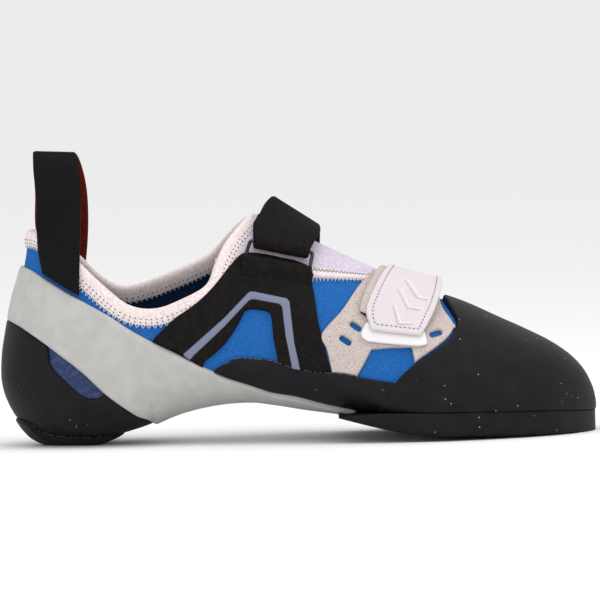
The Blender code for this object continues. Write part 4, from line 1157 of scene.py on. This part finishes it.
# %% Saddles and stripes
SADDLE_REAR = ((25.8, 44.9), (26.2, 46.4), (27.9, 50.4), (29.6, 54.4), (31.4, 57.4), (33.3, 60.8),
               (35.1, 64.8), (37.0, 69.8), (38.2, 73.4), (39.4, 76.8), (40.6, 79.9))
SADDLE_TOP = ((40.6, 79.9), (41.6, 81.0), (43.8, 80.5), (45.7, 79.5), (47.7, 78.2), (49.7, 76.9),
              (51.8, 74.6), (52.1, 73.2))
SADDLE_FRONT = ((52.1, 73.2), (52.7, 66.5), (53.1, 60.5), (53.5, 52.5), (53.9, 47.5), (54.5, 40.5),
                (55.1, 34.5), (55.6, 30.6))
SADDLE_WINDOW = ((34.6, 30.0), (34.2, 34.9), (35.9, 38.6), (37.9, 43.2), (39.9, 50.2), (41.0, 55.2),
                 (41.6, 57.2), (43.0, 57.6), (45.2, 56.4), (45.8, 54.0), (46.1, 45.2), (46.6, 38.0),
                 (47.0, 29.0))
STRIPE = ((30.8, 39.2), (37.9, 54.2), (41.6, 63.4), (42.2, 64.8), (43.0, 64.8), (48.4, 61.5), (48.9, 60.0),
          (49.6, 43.2), (50.5, 32.0), (49.1, 32.6), (48.1, 46.2), (47.6, 58.0), (47.2, 59.1), (43.0, 61.4),
          (42.4, 61.3), (41.8, 60.1), (37.9, 50.2), (32.0, 36.8))
PANEL = LEATHER + GAP
ABOVE_RUBBER = np.array([0.0, 0.25 * MM])


def window(rows, steps, side):
    """Closed chart outline of a hole or patch that is drawn as rows in the side view."""
    line = seam(rows, steps)
    return chart(np.vstack([line, line[:1]]), side)


saddle_outline = np.vstack([
    seam(SADDLE_REAR, 6), seam(SADDLE_TOP, 6), seam(SADDLE_FRONT, 6),
    between(side_top, 55.4, 36.6) + ABOVE_RUBBER, between(band_top, 35.4, 26.2) + ABOVE_RUBBER,
])
for side, word, node_word in SIDES:
    net = cut_net(chart(saddle_outline, side), [window(SADDLE_WINDOW, 4, side)])
    saddle = layer("saddle_" + word, net, PANEL, "black_leather", radius=0.7 * MM, blunt=0.6)
    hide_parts("saddle_" + node_word)
    net = cut_net(window(STRIPE, 1, side)[:-1], rows=(0.15, 0.4))
    layer("stripe_" + word, net, PANEL + 0.15 * MM, "lilac_stripe", radius=0.25 * MM, blunt=0.85,
          sink=-1.2 * MM)

# %% [markdown]
# ## Strap base
#
# A suede panel spreads the front strap's pull over the forefoot, with short slots along its legs.

# %% Suede base
BASE_REAR = ((55.7, 30.6), (54.9, 40.0), (54.1, 46.4), (57.5, 55.8), (60.2, 64.8), (62.8, 71.6), (64.8, 82.0))
BASE_FRONT = ((74.2, 82.0), (74.0, 62.0), (74.1, 55.4), (75.6, 49.6), (76.4, 46.6))
BASE_WINDOW = ((69.6, 24.0), (69.4, 34.0), (69.0, 39.8), (65.5, 39.9), (62.3, 39.4), (60.8, 32.6),
               (59.8, 28.6), (59.6, 20.0))
SLOTS = (
    # along, up, tilt in radians
    (61.5, 54.4, -0.61), (59.75, 48.9, -0.61), (58.0, 43.4, -0.61), (73.0, 44.6, 0.2),
)
SLOT_LENGTH, SLOT_WIDTH, SLOT_CORNER = 5.6 * MM, 2.5 * MM, 0.5
BESIDE_CAP = 0.3 * MM


def to_crown(line, side):
    """Chart line cut off where it reaches the crown, and closed on it."""
    flat = chart(line, side)
    below = np.abs(flat[:, 1]) > 0.5 * MM
    last = flat[below][-1] if below[0] else flat[below][0]
    top = np.array([[last[0], 0.0]])
    return np.vstack([flat[below], top]) if below[0] else np.vstack([top, flat[below]])


def slot(place, up, tilt, side):
    """Chart outline of a slot: a superellipse with its corners drawn out, turned by its tilt."""
    angle = np.linspace(0.0, 2.0 * math.pi, 24, endpoint=False)
    long = SLOT_LENGTH / 2.0 * np.sign(np.cos(angle)) * np.abs(np.cos(angle)) ** SLOT_CORNER
    short = SLOT_WIDTH / 2.0 * np.sign(np.sin(angle)) * np.abs(np.sin(angle)) ** SLOT_CORNER
    x = shoe_x(place) + long * math.cos(tilt) - short * math.sin(tilt)
    z = up * 0.01 * INSTEP_HEIGHT + long * math.sin(tilt) + short * math.cos(tilt)
    return chart(np.stack([x, z], axis=1), side)


rear, front = seam(BASE_REAR, 6), seam(BASE_FRONT, 6)
cap_up = np.linspace(46.2, 26.0, 30) * MM
cap_part = np.stack([cap_x(cap_up) - BESIDE_CAP, cap_up], axis=1)
foot = between(side_top, 66.0, 55.9) + ABOVE_RUBBER
halves = [
    np.vstack([to_crown(front, side), chart(np.vstack([cap_part, foot]), side), to_crown(rear, side)])
    for side in (-1.0, 1.0)
]
base_outline = np.vstack([halves[0][1:], halves[1][::-1][1:]])
base_holes = []
for side in (-1.0, 1.0):
    base_holes.append(window(BASE_WINDOW, 1, side)[:-1])
    base_holes += [slot(place, up, tilt, side) for place, up, tilt in SLOTS]
base_net = cut_net(base_outline, base_holes)
suede = layer("suede_base", base_net, PANEL, "pale_suede", radius=0.6 * MM, blunt=0.6)
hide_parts("strap_base")

# %% [markdown]
# ## Ring and straps
#
# The rear strap starts on the inner side, crosses the instep, turns through the ring and comes back on
# itself. The front strap is leather; a moulded grip sits under its free end.

# %% Strap tables
# each row: rear end's place, turn in degrees and lift in millimetres, then the front end's
REAR_STRAP_END = (
    (43.2, -15.0, 4.8, 52.0, -13.0, 5.0),
    (42.6, -26.0, 3.8, 51.8, -22.0, 4.0),
)
REAR_STRAP = (
    (42.4, -30.0, 6.6, 52.2, -25.0, 7.6),
    (43.1, -20.0, 6.6, 52.9, -16.0, 8.2),
    (43.6, -10.0, 8.8, 52.9, -7.0, 8.3),
    (44.4, 0.0, 11.4, 52.8, 1.0, 8.2),
    (45.0, 12.0, 9.6, 53.0, 10.0, 7.8),
    (45.4, 28.0, 6.2, 53.4, 24.0, 6.0),
    (45.4, 45.0, 3.4, 53.6, 40.0, 3.4),
    (45.3, 60.0, 2.9, 53.9, 55.0, 2.9),
    (45.1, 72.0, 2.9, 53.7, 67.0, 2.9),
)
FRONT_STRAP = (
    (62.2, -61.0, 4.9, 70.2, -56.0, 4.9),
    (61.3, -52.5, 4.8, 71.2, -49.0, 4.8),
    (62.0, -42.0, 4.8, 72.4, -37.0, 5.2),
    (63.2, -28.0, 5.2, 73.1, -24.0, 6.8),
    (64.4, -12.0, 5.3, 73.4, -10.0, 8.0),
    (64.8, 0.0, 5.0, 73.4, 0.0, 8.0),
    (64.6, 14.0, 4.6, 73.4, 12.0, 7.2),
    (63.8, 32.0, 3.4, 73.2, 28.0, 5.0),
    (63.0, 50.0, 2.9, 72.8, 46.0, 3.0),
    (62.6, 64.0, 2.9, 72.2, 60.0, 2.9),
)
STRAP_TAB = (
    (61.6, -66.6, 2.9, 69.6, -61.2, 2.9),
    (60.8, -65.6, 2.9, 70.8, -59.8, 2.9),
    (60.6, -63.6, 2.9, 71.4, -57.8, 2.9),
    (61.4, -57.0, 2.9, 71.0, -51.6, 2.9),
)
# corners of the ring's middle line: hundredths along, hundredths up, millimetres off the last
RING = ((41.6, 79.4, 3.3), (52.3, 73.4, 3.3), (53.0, 80.6, 5.4), (42.6, 86.7, 5.4))
RIDGES = (
    # three points of each ridge on the front strap, in the side view
    ((68.3, 67.5), (70.2, 60.3), (72.0, 59.2)),
    ((67.0, 64.0), (68.5, 56.3), (70.6, 55.5)),
    ((66.1, 57.3), (66.8, 50.1), (69.3, 49.8)),
)
print("rows of the two straps", len(REAR_STRAP_END) + len(REAR_STRAP), len(FRONT_STRAP))

# %% [markdown]
# The rear strap is one tape: its under end, a half turn round the ring's upper bar, and the part that
# crosses the instep. The ring's corners are set in the side view, so their feet on the last are searched.

# %% Rear strap
WIRE, STRAP = 2.4 * MM, 1.6 * MM
HOLE = WIRE / 2.0 + GAP


def held(along, up, lift):
    """Point at a side-view place and a distance off the outer side, found by moving its foot on the last."""
    goal = shoe_x(along)
    foot = goal
    for _ in range(6):
        turn = layer_turn(foot, up * 0.01 * INSTEP_HEIGHT, -1.0, lift * MM)
        point = lay(foot, turn, np.asarray(lift * MM))
        foot = foot + goal - point[0]
    return point


ends = [held(*corner) for corner in RING]


def strap_fold(columns):
    """Half turn of the strap round the ring's upper bar."""
    lower_rear, lower_front, upper_front, upper_rear = ends
    bar = upper_front - upper_rear
    span = np.linalg.norm(bar)
    along = bar / span
    up = (upper_front + upper_rear - lower_front - lower_rear) / 2.0
    up = up - along * np.dot(up, along)
    up /= np.linalg.norm(up)
    out = np.cross(along, up)
    margin = (HOLE + GAP) / span
    centre = upper_rear + np.linspace(margin, 1.0 - margin, columns)[None, :, None] * bar
    angle = np.radians(np.linspace(-90.0, 90.0, 13))[:, None, None]
    return centre + (HOLE + STRAP / 2.0) * (out * np.sin(angle) - up * np.cos(angle))


def resample(net, rows, columns):
    """Grid of points at even distances along and across a rough grid, smooth along it."""
    long = np.stack([spread(smooth(net[:, j], 6), rows) for j in range(net.shape[1])], axis=1)
    return np.stack([spread(long[i], columns) for i in range(rows)], axis=0)


COLUMNS = 6
rear_parts = [tape_net(REAR_STRAP_END, 2, COLUMNS), strap_fold(COLUMNS), tape_net(REAR_STRAP, 3, COLUMNS)]
rear_strap = tape("rear_strap_tape", resample(np.concatenate(rear_parts), 170, 34), STRAP, "strap_weave")
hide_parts("rear_strap")
print("rear strap", len(rear_strap.data.polygons), "faces")

# %% [markdown]
# The front strap has a line of stitches sunk a little into the leather along its edge. Its three embossed
# ridges are short beads, each with a flank of painted highlight and one of painted shade. A suede backing
# shows behind it.

# %% Front strap
EMBOSSED = 0.2 * MM
STRAP_LEATHER = STRAP + EMBOSSED
STITCH_IN, STITCH_SPREAD = 2.6 * MM, 0.4 * MM
STITCH_ROW, STITCH_COLUMN, STITCH_LAST = 6, 7, 160
STITCH_STEP, STITCH_WIDTH = 0.65 * MM, 0.42 * MM
STITCH_UP = [0.0, -0.8, 0.6]
front_net = resample(tape_net(FRONT_STRAP, 3, COLUMNS), 230, 72)[:, ::-1]
relief = -EMBOSSED * np.exp(-(((net_edge(front_net) - STITCH_IN) / STITCH_SPREAD) ** 2))
front_strap = tape("front_strap_leather", front_net, STRAP_LEATHER, "pale_leather", relief=relief)
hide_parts("front_strap")
face = front_net + net_normals(front_net) * (0.5 * STRAP_LEATHER + 0.05 * MM)
near, far = face[:, STITCH_COLUMN], face[:, -STITCH_COLUMN - 1]
end_row = face[STITCH_ROW, STITCH_COLUMN:-STITCH_COLUMN - 1]
seam_rows = np.concatenate([near[STITCH_LAST:STITCH_ROW:-1], end_row, far[STITCH_ROW:STITCH_LAST]])
seam_dots = evenly(seam_rows, STITCH_STEP)
number = np.arange(0, len(seam_dots) - 3, 3)
starts, stops, out = seam_dots[number], seam_dots[number + 2], np.tile(STITCH_UP, (len(number), 1))
threads("front_strap_stitches", starts, stops, out, STITCH_WIDTH, "dark_thread")
print("stitches", len(number))

# %% [markdown]
# A bead lies on the strap's near face: each of its points takes the depth of the nearest point of the face.

# %% Ridges, backing and grip
BEAD_STEP, BEAD_HALF, BEAD_WIDTH = 0.8 * MM, 0.45, 0.62 * MM
# Each ridge is drawn twice: a bead of painted shade, and a bead of painted highlight a little ahead and above
# it.
FLANKS = (("ridge_painted_shade", 0.0, 0.0), ("ridge_painted_highlight", 0.45, 0.54))
BACKING_REAR, BACKING_FRONT, BACKING_DOWN = 1.1, 2.0, 1.4
near_face = face[face[..., 1] < 0.0]
for number, ridge in enumerate(RIDGES):
    for flank, (thread, ahead, above) in enumerate(FLANKS):
        along, up = (np.array(ridge) + [ahead, above]).T
        line = evenly(np.stack([shoe_x(along), up * 0.01 * INSTEP_HEIGHT], axis=1), BEAD_STEP)
        nearest = ((line[:, None] - near_face[None, :, [0, 2]]) ** 2).sum(-1).argmin(1)
        raised = np.stack([line[:, 0], near_face[nearest, 1], line[:, 1]], axis=1)
        step = (raised[1:] - raised[:-1]) * BEAD_HALF
        starts, stops, out = raised[:-1] - step, raised[1:] + step, np.tile(STITCH_UP, (len(step), 1))
        threads("strap_ridge_%d_%d" % (number, flank), starts, stops, out, BEAD_WIDTH, thread)
backing = [
    (along - BACKING_REAR, turn, lift - BACKING_DOWN, along + BACKING_FRONT, turn, lift - BACKING_DOWN)
    for along, turn, lift, *_ in FRONT_STRAP[1:7]
]
backing_net = resample(tape_net(backing, 3, 4), 120, 24)
tape("front_strap_backing", backing_net, 1.8 * MM, "pale_suede", radius=0.9 * MM, blunt=0.15)
tab_net = resample(tape_net(STRAP_TAB, 4, COLUMNS), 40, 60)
tab = tape("strap_grip", tab_net, 1.6 * MM, "white_plastic", blunt=0.2)
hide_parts("strap_tab")
print("backing and grip on", len(backing), "and", len(STRAP_TAB), "rows")

# %% [markdown]
# The ring is bent from wire, with parabolas at its corners. Its lower bar lies in a hem at the saddle's
# upper end: a sheet that leaves the saddle's face and turns over the bar.

# %% Ring and hem
RING_CORNER, RING_RADIUS = 1.5 * MM, 0.8 * MM
path = []
t = np.linspace(0.0, 1.0, 9)[:, None]
for number, corner in enumerate(ends):
    back, ahead = ends[number - 1] - corner, ends[(number + 1) % 4] - corner
    back *= RING_CORNER / np.linalg.norm(back)
    ahead *= RING_CORNER / np.linalg.norm(ahead)
    path.append(corner + back * (1.0 - t) ** 2 + ahead * t**2)
ring_wire = tube("ring_wire", np.concatenate(path), RING_RADIUS, "dark_wire")
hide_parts("ring")
HEM_WRAP, HEM_SHEET = 1.5 * MM, 0.8 * MM
HEM_DROP = np.linspace(5.2, 1.6, 10) * MM
HEM_LIFT = (1.1 * MM, 4.2 * MM)
hem_start, hem_stop = ends[:2]
share = np.linspace(-0.04, 1.03, 60)[:, None]
hem_line = hem_start + share * (hem_stop - hem_start)
hem_out = normal(*onto(hem_line))
hem_along = (hem_stop - hem_start) / np.linalg.norm(hem_stop - hem_start)
hem_up = np.cross(hem_out, hem_along)
hem_up *= np.sign(hem_up[:, 2:])
hem_angle = np.radians(np.linspace(-80.0, 180.0, 22))[4:, None]
arc = HEM_WRAP * (hem_up[:, None] * np.sin(hem_angle) + hem_out[:, None] * np.cos(hem_angle))
drop = hem_line[:, None] + hem_out[:, None] * HEM_WRAP * 0.8 - hem_up[:, None] * HEM_DROP[:, None]
low_x, low_turn = onto(drop)
blend = np.linspace(0.0, 1.0, 10)[None, :]
drop = lay(low_x, low_turn, HEM_LIFT[0] * (1.0 - blend) + blend * HEM_LIFT[1] + 0.0 * low_x)
hem_net = np.concatenate([drop, hem_line[:, None] + arc], axis=1)
tape("saddle_hem", hem_net, HEM_SHEET, "black_leather", radius=0.4 * MM)
print("hem", round(1000.0 * float(np.linalg.norm(hem_stop - hem_start)), 1), "mm long")

# %% [markdown]
# ## Pull loop
#
# A loop of webbing stands over the heel to pull the shoe on. It's black and ribbed outside, dark red inside.
# Each row is one line across the webbing. Where the foot's wall is wider than the row, the row is pushed
# out to the wall, by a clearance that grows with the wall's slope.

# %% Loop
PULL_LOOP = (
    # across, rear, up, front, up
    (-18.0, 7.7, 81.4, 13.8, 71.0),
    (-18.0, 7.2, 88.0, 13.9, 82.0),
    (-18.0, 6.9, 95.0, 14.1, 93.0),
    (-17.5, 6.8, 105.0, 14.3, 105.0),
    (-15.0, 6.9, 117.0, 14.4, 117.0),
    (-11.0, 6.5, 127.0, 14.2, 127.0),
    (-6.0, 6.4, 134.4, 13.8, 133.8),
    (0.0, 6.4, 137.2, 13.5, 136.2),
    (6.0, 6.4, 134.4, 14.0, 133.8),
    (11.0, 6.3, 127.0, 14.7, 127.0),
    (15.0, 6.4, 117.0, 15.2, 117.0),
    (17.5, 6.2, 105.0, 15.2, 105.0),
    (18.0, 6.5, 95.0, 14.9, 93.0),
    (18.0, 7.0, 88.0, 14.4, 82.0),
    (18.0, 7.7, 81.4, 13.8, 71.0),
)
WEBBING, OFF_WALL, STEEPEST = 1.6 * MM, 2.7 * MM, 3.0
rows = smooth(PULL_LOOP, 10)
share = np.linspace(0.0, 1.0, 24)[None, :]
across = rows[:, [0]] * 0.01 * BALL_WIDTH + 0.0 * share
x = shoe_x(rows[:, [1]]) * (1.0 - share) + shoe_x(rows[:, [3]]) * share
z = (rows[:, [2]] * (1.0 - share) + rows[:, [4]] * share) * 0.01 * HEEL_HEIGHT
wall = wall_y(x, z, across)
slope_x = (wall_y(x + MM, z, across) - wall) / MM
slope_z = (wall_y(x, z + MM, across) - wall) / MM
slant = np.minimum(np.sqrt(1.0 + slope_x**2 + slope_z**2), STEEPEST)
y = np.sign(across) * np.maximum(np.abs(across), np.abs(wall) + OFF_WALL * slant)
loop_net = np.stack([x, y, z], axis=-1)
for _ in range(6):
    loop_net[1:-1] = 0.5 * loop_net[1:-1] + 0.25 * (loop_net[2:] + loop_net[:-2])
top_normal = net_normals(loop_net)[len(rows) // 2, 12]
if top_normal[2] < 0.0:
    loop_net = loop_net[:, ::-1]
loop = tape("pull_webbing", loop_net, WEBBING, "black_webbing", radius=0.5 * MM, lining="red_webbing")
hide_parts("pull_loop")
print("pull loop", len(loop.data.polygons), "faces")

# %% [markdown]
# ## Remaining solids
#
# The insole is right as modelled and only gets its finish.

# %% Insole
finish("insole_felt", (0.02, 0.03, 0.06), 0.95, ((0.035, 0.045, 0.08), 500.0, 0.4, 0.65), (1800.0, 0.0001))
for material_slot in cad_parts["insole"].material_slots:
    material_slot.material = FINISHES["insole_felt"]
for item in PIECES:
    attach(item, "root")
print("pieces", len(PIECES), "faces", sum(len(item.data.polygons) for item in PIECES))

# %% [markdown]
# ## Floor, light and camera
#
# The photo is a product shot on white. The shoe is seen square to its outer side from three degrees above
# its middle, with the camera rolled by a degree and a half, through a long lens.

# %% Stage
FLOOR_SIZE = 80.0
floor_mesh = bpy.data.meshes.new("floor")
half = FLOOR_SIZE / 2.0
floor_corners = [(-half, -half, 0.0), (half, -half, 0.0), (half, half, 0.0), (-half, half, 0.0)]
floor_mesh.from_pydata(floor_corners, [], [(0, 1, 2, 3)])
floor = bpy.data.objects.new("floor", floor_mesh)
bpy.context.scene.collection.objects.link(floor)
finish("studio_floor", (0.93, 0.93, 0.93), 0.95, gloss=0.0)
floor_mesh.materials.append(FINISHES["studio_floor"])
floor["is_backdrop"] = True

bpy.context.scene.view_settings.view_transform = "Standard"
world = bpy.data.worlds.new("studio")
bpy.context.scene.world = world
world.use_nodes = True
backdrop = world.node_tree.nodes["Background"]
backdrop.inputs["Color"].default_value = (1.0, 1.0, 1.0, 1.0)
backdrop.inputs["Strength"].default_value = 0.9
print("floor", FLOOR_SIZE, "m wide")

# %% [markdown]
# Three soft lamps lift the white of a studio sky: one from above, one from the front and one at the toe.

# %% Lamps
def softbox(name, place, aim, size, power):
    """Square area light at a place, turned towards a point."""
    lamp = bpy.data.lights.new(name, "AREA")
    lamp.shape = "SQUARE"
    lamp.size = size
    lamp.energy = power
    item = bpy.data.objects.new(name, lamp)
    item.location = place
    item.rotation_mode = "QUATERNION"
    item.rotation_quaternion = (Vector(aim) - Vector(place)).to_track_quat("-Z", "Y")
    bpy.context.scene.collection.objects.link(item)
    print(name, power, "W")


softbox("top_light", (0.10, -0.25, 1.10), (0.0, 0.0, 0.04), 0.9, 4.0)
softbox("front_light", (-0.5, -1.2, 0.55), (0.0, 0.0, 0.05), 0.8, 1.5)
softbox("toe_light", (1.0, -0.5, 0.6), (0.08, 0.0, 0.03), 0.5, 1.0)

# %% [markdown]
# The camera's distance follows from the width that its picture covers at the shoe.

# %% Camera
ELEVATION, ROLL = math.radians(3.0), math.radians(1.48)
FRAME_WIDTH = 257.2 * MM
AIM = Vector((1.6, 0.0, 59.4)) * MM
camera_data = bpy.data.cameras.new("camera")
camera_data.sensor_width = 36.0
camera_data.lens = 500.0
distance = FRAME_WIDTH * camera_data.lens / camera_data.sensor_width
camera_data.clip_end = 100.0
camera = bpy.data.objects.new("camera", camera_data)
bpy.context.scene.collection.objects.link(camera)
bpy.context.scene.camera = camera
right, ahead = Vector((1.0, 0.0, 0.0)), Vector((0.0, math.cos(ELEVATION), -math.sin(ELEVATION)))
up = right.cross(ahead)
rolled_right = right * math.cos(ROLL) - up * math.sin(ROLL)
rolled_up = right * math.sin(ROLL) + up * math.cos(ROLL)
turned = Matrix((rolled_right, rolled_up, -ahead)).transposed()
camera.rotation_mode = "QUATERNION"
camera.rotation_quaternion = turned.to_quaternion()
camera.location = AIM - ahead * distance
print("camera", [round(v, 3) for v in camera.location])

# %% [markdown]
# ## Size of the dressed shoe
#
# The dressed shoe should keep to the box of the modelled solids; both boxes are printed.

# %% Write the two boxes
low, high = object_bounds()
for word, size in (("dressed", high - low), ("checked", cad_high - cad_low)):
    print(word, [round(1000 * v, 1) for v in size])
